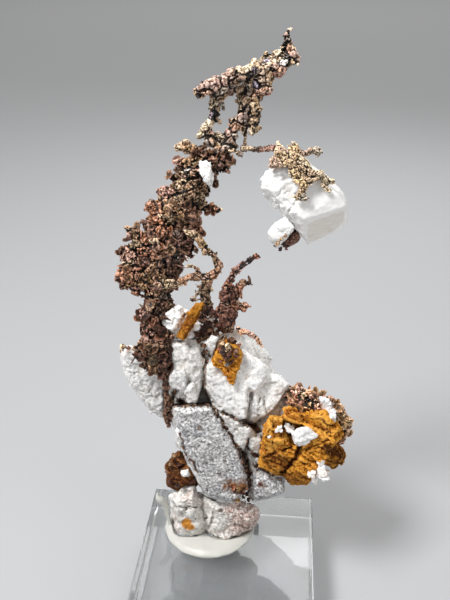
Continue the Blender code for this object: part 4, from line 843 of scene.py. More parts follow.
CREST = (
    (-0.2, 98.1, 1.7, 98.9, 1.0, "rosy"), (-0.1, 97.3, 0.7, 97.3, 0.6, "orange"),
    (-1.1, 96.9, -1.0, 96.3, 0.24, "cream"), (-0.7, 98.4, -0.4, 98.8, 0.35, "cream"),
    (3.6, 99.3, 4.6, 100.2, 0.9, "rosy"), (5.2, 100.6, 7.0, 100.7, 0.65, "cream"),
    (4.4, 98.9, 7.2, 99.6, 0.5, "brown"), (2.6, 97.1, 3.4, 97.6, 0.55, "grey"),
    (4.6, 98.3, 6.6, 98.8, 0.42, "grey"), (4.3, 97.2, 4.6, 97.1, 0.55, "maroon"),
    (5.6, 97.6, 6.2, 97.9, 0.5, "tan"), (2.4, 96.0, 3.4, 96.5, 0.45, "tan"),
    (1.6, 95.9, 1.6, 95.4, 0.4, "cream"), (0.9, 94.6, 1.4, 94.7, 0.34, "cream"),
    (2.2, 94.6, 2.5, 93.6, 0.42, "tan"), (1.4, 93.9, 1.3, 93.2, 0.42, "lilac"),
    (2.2, 92.9, 2.5, 92.5, 0.4, "tan"), (1.2, 92.6, 0.3, 91.6, 0.45, "cream"),
    (-0.4, 90.7, -1.1, 90.2, 0.55, "cream"), (0.5, 90.6, 1.4, 90.6, 0.45, "rosy"),
    (2.0, 90.2, 3.0, 90.1, 0.4, "cream"), (1.1, 89.5, 1.3, 89.0, 0.55, "tan"),
    (7.0, 96.3, 6.4, 95.2, 0.5, "tan"), (6.2, 95.0, 5.6, 93.9, 0.5, "cream"),
    (5.8, 93.8, 5.9, 92.9, 0.5, "rosy"), (5.3, 93.2, 4.4, 92.5, 0.45, "cream"),
    (4.8, 92.0, 4.8, 91.5, 0.75, "orange"), (4.0, 90.8, 3.9, 90.3, 0.6, "rosy"),
    (5.1, 90.4, 5.2, 90.0, 0.6, "grey"), (4.4, 89.5, 4.6, 89.1, 0.6, "brown"),
    (7.2, 99.8, 7.3, 98.6, 0.5, "tan"), (7.4, 98.2, 7.3, 97.2, 0.5, "dark"),
    (6.5, 91.4, 6.3, 90.6, 0.34, "cream"), (6.8, 89.9, 6.9, 88.9, 0.5, "tan"),
    (7.2, 93.8, 7.3, 93.5, 0.34, "rosy"), (7.0, 94.8, 6.9, 92.6, 0.4, "dark"),
    (8.1, 95.0, 8.2, 94.2, 0.6, "gold"), (8.7, 94.3, 9.2, 94.2, 0.28, "cream"),
    (8.2, 92.5, 8.4, 92.4, 0.7, "tan"), (8.4, 91.8, 8.8, 91.4, 0.7, "gold"),
    (8.0, 90.6, 7.9, 90.2, 0.24, "cream"), (8.0, 100.9, 8.1, 100.6, 0.4, "lilac"),
    (7.9, 101.7, 8.0, 102.0, 0.42, "cream"), (8.8, 100.5, 10.2, 101.1, 0.65, "tan"),
    (9.6, 101.4, 10.4, 101.6, 0.4, "cream"), (10.6, 101.0, 11.4, 100.9, 0.42, "rosy"),
    (9.1, 102.6, 10.4, 102.8, 0.32, "cream"), (10.0, 102.1, 10.2, 102.1, 0.3, "lilac"),
    (11.2, 102.5, 12.2, 103.2, 0.65, "cream"), (12.6, 102.0, 13.3, 102.1, 0.38, "white"),
    (12.8, 102.7, 13.1, 102.6, 0.3, "dark"), (11.5, 100.5, 12.3, 100.3, 0.5, "rust"),
    (9.0, 99.3, 9.3, 98.8, 0.7, "tan"), (10.4, 100.1, 10.5, 98.8, 0.5, "gold"),
    (8.5, 98.7, 8.7, 98.3, 0.45, "lilac"), (9.7, 97.7, 8.7, 97.1, 0.6, "orange"),
    (10.2, 97.3, 10.6, 97.7, 0.35, "rosy"), (8.3, 96.7, 8.2, 96.3, 0.35, "gold"),
    (13.2, 106.6, 13.5, 106.7, 0.34, "cream"), (12.5, 105.8, 12.9, 106.2, 0.42, "rosy"),
    (12.6, 104.8, 12.9, 105.2, 0.5, "grey"), (12.2, 104.3, 12.4, 104.1, 0.42, "cream"),
    (13.3, 104.5, 13.4, 103.8, 0.45, "orange"), (14.0, 104.3, 14.4, 103.6, 0.32, "cream"),
    (14.4, 103.1, 14.7, 102.5, 0.55, "rosy"), (14.8, 101.9, 14.9, 101.6, 0.3, "cream"),
    (13.9, 102.0, 14.1, 101.7, 0.45, "gold"),
)

TRUNK = (
    (-10.7, 60.4, -9.8, 60.4, 0.55, "tan"), (-9.4, 61.5, -9.1, 61.2, 0.6, "brown"),
    (-8.3, 60.6, -8.0, 60.2, 0.6, "grey"), (-10.4, 59.2, -9.0, 58.8, 0.45, "brown"),
    (-12.9, 55.9, -11.7, 56.5, 0.5, "rosy"), (-11.3, 56.6, -10.2, 57.3, 0.5, "brown"),
    (-12.5, 55.3, -11.5, 55.5, 0.4, "dark"), (-9.7, 57.6, -9.4, 57.0, 0.7, "dark"),
    (-8.6, 56.2, -8.4, 55.6, 0.7, "dark"), (-10.2, 55.4, -9.8, 55.2, 0.6, "brown"),
    (-7.2, 59.2, -6.5, 58.2, 0.36, "olive"), (-11.3, 53.7, -10.4, 53.6, 0.5, "brown"),
    (-9.5, 53.8, -9.0, 53.4, 0.6, "maroon"), (-8.1, 53.2, -7.8, 53.0, 0.6, "olive"),
    (-7.1, 52.2, -6.5, 53.3, 0.42, "tan"), (-11.9, 51.1, -10.9, 51.8, 0.42, "rosy"),
    (-10.6, 50.7, -8.7, 50.0, 0.4, "brown"), (-9.0, 51.6, -8.0, 51.8, 0.5, "brown"),
    (-7.6, 50.8, -6.5, 51.6, 0.42, "brown"), (-12.2, 49.8, -12.3, 46.4, 0.6, "brown"),
    (-10.7, 48.0, -10.8, 46.2, 0.4, "olive"), (-10.9, 45.5, -11.2, 43.9, 0.6, "gold"),
    (-9.6, 49.0, -9.2, 46.6, 0.6, "dark"), (-8.4, 47.4, -8.2, 45.0, 0.6, "maroon"),
    (-7.4, 48.4, -7.0, 46.0, 0.6, "dark"), (-8.2, 43.6, -7.9, 42.4, 0.5, "dark"),
    (-7.9, 41.8, -7.8, 39.4, 0.34, "brown"), (-8.0, 58.6, -7.6, 57.4, 0.5, "brown"),
    (-9.8, 48.4, -8.8, 49.0, 0.4, "brown"), (-9.2, 44.2, -8.8, 44.8, 0.5, "dark"),
    (-8.3, 36.6, -8.3, 34.0, 0.4, "brown"), (-8.6, 32.4, -8.5, 30.2, 0.5, "brown"),
)

ARCH = (
    (-3.2, 73.1, -1.6, 72.5, 0.3, "cream"), (-1.1, 71.9, 0.1, 70.3, 0.5, "gold"),
    (0.2, 70.0, 0.4, 69.0, 0.5, "tan"), (0.6, 68.8, 1.7, 68.4, 0.32, "rosy"),
    (1.9, 68.7, 1.9, 69.0, 0.22, "cream"), (1.5, 67.8, 1.6, 66.6, 0.42, "tan"),
    (2.2, 67.5, 3.0, 66.2, 0.4, "rosy"), (2.0, 65.9, 2.6, 65.1, 0.45, "orange"),
    (1.1, 64.6, 1.8, 64.1, 0.5, "orange"), (0.2, 64.4, -0.6, 64.2, 0.36, "rosy"),
    (-3.4, 66.2, -2.2, 66.3, 0.3, "cream"), (-1.9, 66.0, -1.2, 65.2, 0.3, "rosy"),
    (-1.4, 64.8, -0.5, 64.0, 0.4, "rosy"), (-2.6, 63.8, -1.5, 63.6, 0.42, "maroon"),
    (-4.0, 63.2, -3.1, 63.8, 0.36, "orange"), (-10.2, 62.3, -8.5, 62.9, 0.45, "rosy"),
    (-8.2, 63.2, -6.4, 63.3, 0.5, "cream"), (-6.6, 62.6, -4.8, 62.3, 0.32, "cream"),
    (-7.6, 61.6, -6.2, 61.9, 0.26, "cream"), (-0.6, 63.0, 0.5, 62.6, 0.45, "brown"),
    (-1.4, 62.0, -0.2, 61.8, 0.4, "dark"), (0.7, 61.9, 1.1, 61.2, 0.28, "cream"),
    (-0.4, 60.6, 0.4, 59.8, 0.5, "dark"), (-3.2, 59.6, -1.2, 60.7, 0.26, "grey"),
    (-2.6, 59.0, -1.0, 59.6, 0.26, "grey"),
)

BLADES = (
    (3.0, 60.6, 3.3, 59.4, 0.7, "maroon"), (3.9, 62.4, 5.2, 63.8, 0.42, "maroon"),
    (4.4, 63.4, 6.6, 65.8, 0.28, "rosy"), (6.6, 65.8, 8.6, 67.6, 0.28, "dark"),
    (8.4, 67.6, 9.9, 68.0, 0.22, "rosy"), (4.8, 65.6, 5.8, 65.6, 0.5, "rosy"),
    (2.4, 59.0, 3.8, 58.6, 0.26, "cream"), (3.4, 61.6, 4.2, 62.8, 0.26, "tan"),
    (4.4, 60.6, 4.8, 59.6, 0.5, "maroon"), (6.6, 62.9, 7.6, 62.9, 0.4, "tan"),
    (7.8, 62.7, 8.4, 62.3, 0.26, "cream"), (6.2, 61.6, 6.4, 60.0, 0.5, "orange"),
    (5.6, 61.4, 5.8, 60.0, 0.34, "brown"), (6.6, 57.4, 7.0, 57.2, 0.5, "orange"),
    (7.2, 58.0, 8.0, 57.9, 0.42, "pale_rust"), (5.9, 58.8, 6.6, 58.5, 0.26, "cream"),
    (4.0, 56.2, 5.0, 55.5, 0.5, "maroon"), (2.8, 54.8, 3.6, 54.2, 0.5, "maroon"),
    (3.2, 55.9, 3.5, 55.6, 0.26, "rust"), (4.2, 52.9, 4.6, 52.4, 0.55, "olive"),
    (2.6, 52.8, 3.0, 52.4, 0.5, "rust"), (0.5, 53.9, 1.4, 53.8, 0.5, "dark"),
    (-0.6, 52.6, -0.2, 52.2, 0.5, "dark"),
)

CAP = (
    (12.5, 88.2, 13.7, 87.6, 0.3, "rosy"), (12.4, 87.1, 13.4, 86.8, 0.6, "gold"),
    (11.2, 86.1, 11.6, 86.1, 0.42, "rosy"), (10.9, 85.1, 12.4, 85.4, 0.36, "rosy"),
    (14.7, 89.0, 14.8, 88.7, 0.3, "cream"), (14.6, 88.0, 15.3, 87.7, 0.6, "yellow"),
    (14.8, 86.9, 15.2, 86.8, 0.7, "gold"), (13.9, 87.3, 14.0, 87.2, 0.3, "dark"),
    (16.3, 87.3, 16.6, 87.1, 0.36, "rosy"), (17.2, 87.4, 17.8, 88.0, 0.32, "rosy"),
    (18.5, 87.8, 19.3, 87.5, 0.6, "grey"), (19.4, 87.8, 19.7, 87.6, 0.3, "rosy"),
    (14.2, 85.8, 14.8, 85.0, 0.5, "gold"), (15.0, 84.2, 15.5, 83.1, 0.5, "yellow"),
    (14.5, 83.5, 14.7, 83.3, 0.34, "grey"), (15.6, 82.4, 16.5, 81.7, 0.5, "yellow"),
    (16.4, 86.2, 17.5, 85.2, 0.5, "cream"), (16.5, 84.8, 17.2, 84.2, 0.4, "tan"),
    (17.6, 84.2, 18.5, 83.5, 0.46, "tan"), (19.2, 83.8, 19.8, 84.0, 0.42, "cream"),
    (19.0, 83.0, 18.0, 82.4, 0.42, "tan"), (20.3, 82.7, 20.9, 82.3, 0.4, "olive"),
    (21.4, 82.6, 22.0, 82.4, 0.36, "cream"), (20.0, 81.6, 20.9, 81.0, 0.34, "cream"),
    (16.5, 80.9, 16.1, 80.1, 0.36, "gold"), (15.4, 79.5, 15.8, 79.3, 0.36, "tan"),
    (16.4, 79.1, 17.8, 79.4, 0.26, "grey"),
)

CRUST = (
    (15.5, 39.5, 15.7, 39.3, 0.5, "olive"), (15.0, 37.7, 16.8, 37.9, 0.5, "rosy"),
    (16.9, 38.6, 18.3, 38.6, 0.55, "rosy"), (17.6, 37.2, 18.3, 36.7, 0.45, "rust"),
    (16.8, 36.2, 17.9, 35.0, 0.5, "rosy"), (18.8, 35.6, 18.6, 34.3, 0.55, "maroon"),
    (19.1, 37.4, 19.4, 37.3, 0.55, "olive"), (20.3, 38.2, 20.6, 38.1, 0.55, "orange"),
    (20.8, 37.3, 21.1, 37.0, 0.45, "rosy"), (19.9, 36.3, 20.1, 36.1, 0.4, "dark"),
    (20.3, 35.3, 20.7, 35.1, 0.55, "gold"), (21.7, 36.4, 22.1, 36.3, 0.4, "cream"),
    (21.9, 35.1, 22.8, 34.7, 0.5, "rosy"), (20.1, 33.7, 21.1, 33.1, 0.5, "gold"),
    (19.2, 32.7, 19.5, 32.5, 0.36, "maroon"), (22.9, 33.5, 23.2, 33.3, 0.45, "rust"),
    (22.2, 32.5, 22.5, 32.3, 0.55, "yellow"), (21.5, 31.1, 22.6, 30.5, 0.45, "rust"),
    (24.9, 36.2, 25.6, 34.8, 0.4, "maroon"), (26.2, 34.6, 27.0, 33.4, 0.42, "gold"),
    (26.6, 32.6, 27.4, 31.6, 0.5, "olive"), (27.8, 30.6, 28.2, 29.4, 0.5, "brown"),
    (27.4, 28.9, 28.6, 28.7, 0.34, "dark"), (16.0, 38.4, 16.2, 38.3, 0.4, "tan"),
    (23.4, 31.6, 24.2, 30.4, 0.55, "yellow"),
)


TWIG = (
    (6.2, 52.6, 7.4, 52.5, 0.34, "pale_rust"), (7.6, 52.3, 9.0, 51.4, 0.32, "rosy"),
    (9.2, 51.0, 10.0, 49.4, 0.26, "pale_rust"),
)

# Its two thin pale strips are the arm's light top edge, a painted highlight on the dark brown arm
ARM = ((6.6, 88.0, 8.6, 88.1, 0.2, "cream"), (9.6, 87.8, 11.8, 88.3, 0.2, "rosy"))

LINK = (
    (14.4, 72.6, 15.8, 73.6, 0.5, "dark"), (14.0, 71.2, 15.0, 71.0, 0.5, "maroon"),
    (13.4, 71.8, 14.2, 72.4, 0.3, "tan"),
)

# The copper's branches: piece, solid, slot, knobs, and how each one grew
BRANCHES = (
    ("trunk_copper", "copper_trunk", "dark_copper", TRUNK,
     dict(seed=91, grain=0.18, fill=90, radii=(0.5, 0.9), kinds=("dark", "brown", "maroon", "rust", "tan"),
          size=1.3, step=0.3, fines=200, crease=0.7, tone=0.78, leaves=130, leaf_size=1.15, bare_below=42.0)),
    ("plume_copper", "copper_plume", "native_copper", PLUME,
     dict(seed=101, grain=0.18, fill=110, radii=(0.4, 0.8), kinds=("brown", "tan", "rosy", "orange", "dark"),
          size=1.1, step=0.26, fines=320, crease=0.7, leaves=190, leaf_size=1.0)),
    ("crest_copper", "copper_crest", "native_copper", CREST,
     dict(seed=111, grain=0.15, fill=50, radii=(0.4, 0.7), kinds=("tan", "gold", "grey", "brown"), size=1.8,
          step=0.2, fines=40, crease=0.4, tone=0.9, shared="grey", leaves=14, leaf_size=0.6)),
    ("arch_copper", "copper_arch", "native_copper", ARCH,
     dict(seed=171, grain=0.13, fill=12, radii=(0.3, 0.5), kinds=("gold", "tan", "rosy"), size=1.7, step=0.16,
          fines=30, crease=0.3, flat=0.45, tone=0.6, shared="gold", leaves=16, leaf_size=0.5)),
    ("blade_copper", "copper_blades", "dark_copper", BLADES,
     dict(seed=181, grain=0.13, fill=12, radii=(0.3, 0.6), kinds=("maroon", "rust", "orange"), size=2.0,
          step=0.16, fines=8, crease=0.4, flat=0.4, tone=0.54, shared="rust", leaves=9, leaf_size=0.9)),
    ("twig_copper", "copper_twig", "native_copper", TWIG,
     dict(seed=191, grain=0.1, fill=6, radii=(0.2, 0.4), kinds=("rosy", "pale_rust"), size=1.4, step=0.12,
          fines=8, crease=0.2)),
    ("arm_copper", "copper_arm", "native_copper", ARM,
     dict(seed=161, grain=0.1, fill=14, radii=(0.25, 0.4), kinds=("dark", "brown"), size=0.6, step=0.1,
          fines=24, crease=0.15)),
    ("cap_copper", "copper_cap", "native_copper", CAP,
     dict(seed=151, grain=0.12, fill=30, radii=(0.3, 0.5), kinds=("tan", "cream", "grey"), size=0.7, step=0.1,
          fines=120, crease=0.3, tone=0.72, shared="cream")),
    ("link_copper", "copper_link", "dark_copper", LINK,
     dict(seed=141, grain=0.13, fill=12, radii=(0.3, 0.6), kinds=("dark", "brown"), size=0.7, step=0.15,
          fines=30, crease=0.3)),
)

# Copper on other stone: x, z, radius and tarnish
BROWN_LIMONITE_COPPER = (
    (-8.2, 19.6, 0.5, "tan"), (-7.4, 21.6, 0.5, "tan"), (-9.0, 17.2, 0.4, "brown"),
    (-6.4, 19.4, 0.5, "maroon"), (-8.6, 14.6, 0.5, "maroon"), (-6.6, 13.6, 0.5, "dark"),
    (-3.6, 15.0, 0.6, "maroon"),
)

PATCH_COPPER = (
    (3.2, 50.6, 0.8, "tan"), (4.3, 50.4, 0.7, "brown"), (2.8, 49.6, 0.7, "tan"),
    (3.9, 49.2, 0.7, "cream"), (5.0, 50.0, 0.6, "dark"), (3.2, 48.4, 0.7, "dark"),
    (4.4, 48.2, 0.6, "brown"), (3.4, 47.2, 0.6, "maroon"), (5.9, 49.4, 0.5, "rust"),
    (5.5, 48.2, 0.55, "brown"), (5.6, 46.9, 0.45, "maroon"), (2.2, 48.6, 0.4, "rust"),
    (4.3, 46.8, 0.5, "dark"), (3.7, 46.0, 0.5, "tan"), (4.5, 45.4, 0.4, "dark"), (3.9, 44.9, 0.4, "grey"),
    (5.0, 46.0, 0.35, "maroon"), (2.6, 45.6, 0.3, "rust"),
)

NECK_COPPER = (
    (0.8, 52.8, 0.5, "dark"), (0.2, 51.4, 0.5, "dark"), (-0.8, 52.6, 0.5, "maroon"),
    (-1.6, 50.6, 0.45, "brown"), (1.6, 51.4, 0.45, "maroon"), (0.6, 54.4, 0.5, "dark"),
    (1.6, 53.2, 0.4, "grey"), (-0.4, 49.4, 0.4, "brown"), (0.0, 48.2, 0.35, "brown"),
    (0.5, 47.0, 0.3, "dark"), (-1.4, 55.2, 0.5, "dark"), (0.2, 57.4, 0.5, "dark"),
    (9.4, 29.5, 0.5, "rust"), (8.9, 30.0, 0.35, "brown"), (10.2, 28.9, 0.4, "brown"),
    (9.9, 30.2, 0.3, "tan"), (-16.4, 48.9, 0.5, "cream"), (-15.4, 48.6, 0.4, "rosy"),
    (-14.2, 48.4, 0.5, "tan"), (-16.8, 48.0, 0.4, "tan"), (4.2, 13.8, 0.4, "brown"),
    (5.8, 12.1, 0.5, "dark"), (6.9, 11.5, 0.5, "maroon"), (7.9, 13.1, 0.5, "brown"),
    (5.2, 13.2, 0.5, "rust"), (6.4, 12.8, 0.5, "gold"), (7.4, 12.4, 0.45, "brown"),
    (8.2, 11.0, 0.5, "maroon"), (7.4, 10.0, 0.4, "cream"), (6.2, 9.2, 0.45, "gold"),
    (8.6, 9.2, 0.4, "brown"), (11.2, 13.8, 0.4, "maroon"),
)

STRAND_COPPER = (
    (-0.6, 57.2, 0.6, "brown"), (0.2, 56.8, 0.6, "dark"), (1.0, 56.6, 0.6, "maroon"),
    (-1.0, 56.0, 0.6, "dark"), (1.8, 55.8, 0.6, "brown"), (-1.0, 54.8, 0.6, "brown"),
    (0.2, 54.4, 0.7, "dark"), (1.6, 54.6, 0.6, "dark"), (2.4, 54.0, 0.6, "maroon"),
    (-1.4, 53.4, 0.6, "maroon"), (-0.4, 53.0, 0.6, "dark"), (0.6, 52.8, 0.7, "brown"),
    (1.8, 52.6, 0.6, "dark"), (-2.2, 52.2, 0.5, "maroon"), (-1.2, 51.8, 0.6, "dark"),
    (0.2, 51.4, 0.5, "brown"), (-1.8, 50.4, 0.5, "brown"), (-1.2, 49.2, 0.45, "maroon"),
    (-0.7, 48.0, 0.4, "brown"),
)

# Flakes of white calcite between the copper, as x, z, radius and colour
WHITE_FLAKES = (
    (0.1, 55.9, 0.36, "white"), (0.7, 55.1, 0.4, "white"), (1.2, 55.3, 0.3, "white"),
    (-0.3, 54.3, 0.34, "white"), (7.8, 12.0, 0.3, "white"), (6.9, 11.2, 0.3, "white"),
    (5.6, 10.8, 0.3, "white"), (-6.3, 28.6, 0.6, "white"), (-6.2, 27.6, 0.5, "white"),
)

LINK_STRIPS = (
    (12.4, 70.4, 0.3, "tan"), (12.9, 71.0, 0.35, "tan"), (13.5, 71.7, 0.35, "cream"),
    (14.2, 72.3, 0.35, "tan"), (13.2, 70.1, 0.4, "dark"), (13.8, 70.8, 0.45, "dark"),
    (14.5, 71.5, 0.45, "dark"), (15.2, 72.2, 0.4, "brown"), (14.4, 70.2, 0.35, "maroon"),
    (13.4, 69.5, 0.3, "dark"),
)

# Where the golden needles stand
NEEDLE_ROOT = (27.2, 31.4)


# Copper crystals

def crumb(heap, rng, place, normal, small, large, film):
    """Adds one small copper crystal with flat faces, half sunk where it sits."""
    radius = rng.uniform(small, large)
    stretch = np.array([rng.uniform(0.7, 1.5), rng.uniform(0.6, 1.1), rng.uniform(0.35, 0.9)])
    heap.put(GRAIN, place + normal * rng.uniform(-0.3, 0.4) * radius, radius * stretch, turned(rng),
             relief=rng.uniform(0.25, 0.9), number=rng.random(), film=film)


def leaf(heap, rng, place, outward, size, film):
    """Adds one thin copper plate that stands out of the skin, its rim pale, partly rubbed and partly a
    painted highlight.
    """
    radius = rng.uniform(0.5, 1.0) * size
    outward = (Vector(outward) + Vector([rng.uniform(-0.7, 0.7) for _ in range(3)])).normalized()
    spin = Matrix.Rotation(rng.uniform(0, 2 * math.pi), 3, "X")
    turn = np.array(outward.to_track_quat("X", "Z").to_matrix() @ spin)
    shape = rng.choice(NUGGETS)
    rim = np.hypot(shape[0][:, 0], shape[0][:, 1])
    heap.put(shape, np.array(place) + np.array(outward) * radius * 0.5, radius * np.array((1.0, 0.75, 0.18)),
             turn, relief=np.clip(0.1 + 0.62 * rim, 0.0, 1.0), number=rng.random(), film=film)


def drawn_knobs(obj, rows):
    """A branch's knobs as drawn, each on its solid or beside it: two ends, the radius and the colour."""
    tree = tree_of(obj)
    middle = sum((v.co.y for v in obj.data.vertices), 0.0) / len(obj.data.vertices)
    knobs = []
    for x0, z0, x1, z1, radius, kind in rows:
        depths = []
        for x, z in ((x0, z0), (x1, z1)):
            place, _ = seen_on(tree, x, z)
            if place is None:
                place = at(x, z, tree.find_nearest(at(x, z, middle))[0].y - radius * 0.5)
            depths.append(place.y)
        depth = min(depths) + radius * 0.55
        knobs.append((at(x0, z0, depth), at(x1, z1, depth), radius, TARNISH[kind]))
    return knobs


def filling_knobs(obj, rng, rows, fill, radii, kinds, bare_below):
    """More knobs on a branch's sides and back, and in front only where none is drawn."""
    knobs = []
    for place, normal in scattered(obj, rng, fill):
        radius = rng.uniform(*radii)
        x, z = drawn(place)
        if z < bare_below:
            continue
        facing_eye = normal.dot(Vector(EYE) - place) > 0.0
        if facing_eye and any(math.hypot(x - (x0 + x1) / 2, z - (z0 + z1) / 2) < r + radius * 0.6 +
                              math.hypot(x1 - x0, z1 - z0) / 2 for x0, z0, x1, z1, r, _ in rows):
            continue
        side = normal.cross(Vector([rng.uniform(-1, 1) for _ in range(3)])).normalized() * radius
        start = place - normal * radius * rng.uniform(0.4, 0.8)
        knobs.append((start, start + side * rng.uniform(0.0, 1.6), radius, TARNISH[rng.choice(kinds)]))
    return knobs


def nearest_knobs(face, knobs):
    """How far each point is from its own knob's edge (0 on it), and the colour of that knob."""
    near = np.full(len(face.points), 9.0)
    beyond = near.copy()
    film = np.zeros((len(face.points), 4))
    for start, end, radius, tint in knobs:
        axis = np.array(end - start)
        away = face.points - np.array(start)
        share = np.clip(away @ axis / max(axis @ axis, 1e-6), 0.0, 1.0)
        gap = np.linalg.norm(away - share[:, None] * axis, axis=1) / radius
        closer = gap < near
        beyond = np.where(closer, near, np.minimum(beyond, gap))
        near = np.where(closer, gap, near)
        film[closer] = colour(tint)
    return beyond - near, film


def copper(name, node, mat, slot, rows, seed, grain, fill, radii, kinds, size, step, fines, crease=0.5,
           flat=0.92, tone=0.92, shared="brown", leaves=0, leaf_size=0.8, bare_below=0.0):
    """One branch of the copper: knobs and plates grown together, broken into angular crystals.

    rows are its knobs as drawn, and fill is how many more, with these radii and kinds of tarnish, cover its
    sides and back. size and step are how wide the crystals of the skin are and how far they stand apart,
    fines how many small crystals sit on it, crease how deep it is between two knobs, and flat how thick a
    knob is against its width. tone is how light its film is, and shared the tarnish that all of it has a
    little of. leaves is how many thin plates stand out of it, and leaf_size their half width. Below the
    drawn height bare_below there is neither a plate nor one of the fill knobs.
    """
    rng = random.Random(seed)
    obj = solid_of(node)
    knobs = drawn_knobs(obj, rows) + filling_knobs(obj, rng, rows, fill, radii, kinds, bare_below)
    heap = Heap()
    for start, end, radius, _ in knobs:
        axis = end - start
        turn = np.array(axis.to_track_quat("X", "Z").to_matrix()) if axis.length > 0.01 else turned(rng)
        heap.put(rng.choice(NUGGETS), (start + end) / 2,
                 np.array((radius + axis.length / 2, radius * flat, radius * 0.92)), turn)
    join(obj, new_object("knobs", heap.mesh("knobs")))
    skin(obj, grain)
    face = Surface(obj)
    edge, film = nearest_knobs(face, knobs)
    between = 1.0 - smooth(edge * 2.2)
    face.lift(-between * crease)
    face.look()
    number = face.break_up(size, step, step * 1.2, step * 0.7, seed)
    own = face.break_up(size * 0.45, step * 0.5, step * 0.8, step * 0.4, seed + 3.0)
    face.lift(face.grain(0.28, seed=8.0) * 0.08)
    face.look()
    relief = 0.4 * face.relief(16, step * 0.9) + 0.6 * face.relief(4, step * 0.3)
    # The relief mark is painted shade between knobs and in hollows, and a painted highlight on ridges, over
    # the film
    face.mark("relief", relief + 0.08 + (0.5 - crease) * 0.3 - between * 0.5 * min(crease, 0.7))
    face.mark("number", number)
    # Each crystal's film is its knob's, blended with its neighbours' and with a film of its own
    tints = np.array([colour(TARNISH[kind]) for kind in kinds])
    film = (0.56 * face.averaged(film, 5) + 0.22 * tints[(own * len(kinds)).astype(int) % len(kinds)]
            + 0.22 * np.array(colour(TARNISH[shared]))) * tone
    face.mark("film", film)
    face.store()
    heap = Heap()
    for _ in range(fines):
        i = rng.randrange(len(face.points))
        crumb(heap, rng, face.points[i], face.normals[i], 0.1, 0.12 + step * 0.5, film[i])
    for _ in range(leaves):
        i = rng.randrange(len(face.points))
        if face.z[i] > bare_below:
            tint = 0.6 * film[i] + 0.4 * tints[rng.randrange(len(kinds))]
            leaf(heap, rng, face.points[i], face.normals[i], leaf_size, tint)
    join(obj, new_object("fines", heap.mesh("fines")))
    tree = tree_of(obj)
    show(name, obj, mat, [node])
    return tree


def needles(mat, tree):
    """The spray of golden copper needles at the crust's right end."""
    rng = random.Random(71)
    heap = Heap()
    root = np.array(found_on(tree, *NEEDLE_ROOT, 0.0)[0])
    for _ in range(46):
        aim = (rng.uniform(-0.3, 1.0), rng.uniform(-0.9, 0.1), rng.uniform(-1.0, 0.8))
        turn_to = Vector(aim).normalized()
        length = rng.uniform(1.4, 2.7)
        turn = np.array(turn_to.to_track_quat("X", "Z").to_matrix())
        start = root + np.array([rng.uniform(-0.5, 0.5) for _ in range(3)])
        heap.put(GRAIN, start + np.array(turn_to) * length * 0.45, np.array((length * 0.5, 0.2, 0.14)), turn,
                 relief=rng.uniform(0.4, 0.95), number=rng.random(),
                 film=colour(TARNISH[rng.choice(("gold", "tan", "cream", "olive"))]))
    spray = new_object("copper_needles", heap.mesh("copper_needles"))
    show("copper_needles", spray, mat, [], flat=True)


def bits(name, tree, mat, rows, seed, fines=3, before=None):
    """Knobs grown on other stone: each is drawn as x, z, radius and tarnish, with a few fine ones round it.

    before is a depth: what is seen further behind than this gets its knob here, in front of it.
    """
    rng = random.Random(seed)
    heap = Heap()
    for x, z, radius, kind in rows:
        place, normal = found_on(tree, x, z, 0.0)
        if before is not None and place.y > before:
            place = at(x, z, before)
        shape = rng.choice(NUGGETS)
        stretch = np.array([rng.uniform(0.75, 1.3), rng.uniform(0.6, 1.0), rng.uniform(0.6, 1.0)])
        turn = turned(rng)
        # Each knob is paler on its side away from the stone and darker toward it: painted light and shade
        outward = (shape[0] * stretch) @ turn.T @ np.array(normal)
        film = colour(TARNISH[kind])
        heap.put(shape, place + normal * radius * 0.1, radius * stretch, turn, film=film, number=rng.random(),
                 relief=np.clip(0.45 + 0.4 * outward, 0.0, 1.0))
        for _ in range(fines):
            shift = Vector([rng.uniform(-1, 1) for _ in range(3)]) * radius
            crumb(heap, rng, place + normal * radius * 0.4 + shift, normal, 0.12, 0.3, film)
            leaf(heap, rng, place, normal, radius * 1.3, film)
    show(name, new_object(name, heap.mesh(name)), mat, [])


# Stone pieces

def cleave(face):
    """Gives the calcite its cleavage steps, sugary grain and pits, and marks them."""
    slab = face.averaged(face.inside(FRONT_SLAB)[:, None] * 1.0, 8)[:, 0]
    wing = smooth(WING_RIGHT - face.x)
    low = smooth((LOW_TOP - face.z) / 3.0) * smooth(face.x - LOW_LEFT)
    # Cleavage steps a few millimetres across on the white parts, sugary grains elsewhere
    white = 1.0 - np.clip(slab + wing + low, 0.0, 1.0)
    _, height, number = face.crystals(3.0, 2.0)
    face.lift(white * (height * 0.34 + (number - 0.5) * 0.22) + face.grain(2.2) * 0.2)
    face.look()
    inside, height, number = face.crystals(1.0, 4.0)
    face.lift((height * 0.24 + (number - 0.5) * 0.16) * (0.3 + 0.8 * wing + 0.4 * low)
              - (1.0 - smooth(inside * 4.0)) * 0.1 * (wing + low + slab * 0.3 + white * 0.15))
    face.look()
    fine = face.grain(0.36, seed=3.0)
    pits = (smooth((face.grain(0.34, seed=11.0) - 0.3) * 7.0)
            * smooth((face.grain(2.4, seed=13.0) + 0.1) * 3.0))
    face.lift(fine * 0.13 + face.grain(0.75, seed=17.0) * 0.12
              - pits * 0.22 * (slab * 0.9 + low * 0.9 + wing * 0.6 + 0.2))
    # Grey on the front slab, partly painted shade, and on the rough part at the lower right
    face.mark("slab", np.clip(slab * 0.7 + low * 0.8, 0.0, 1.0))
    face.mark("crevice", pits * (slab * 0.38 + low * 0.4 + wing * 0.2 + 0.12))
    # Painted light on the lit right mass, and at 0.7 on the left wing
    right = smooth((face.x - BRIGHT_LEFT) / 2.0) * smooth((face.z - BRIGHT_FOOT) / 4.0)
    face.mark("shine", np.maximum(right, wing * 0.7))


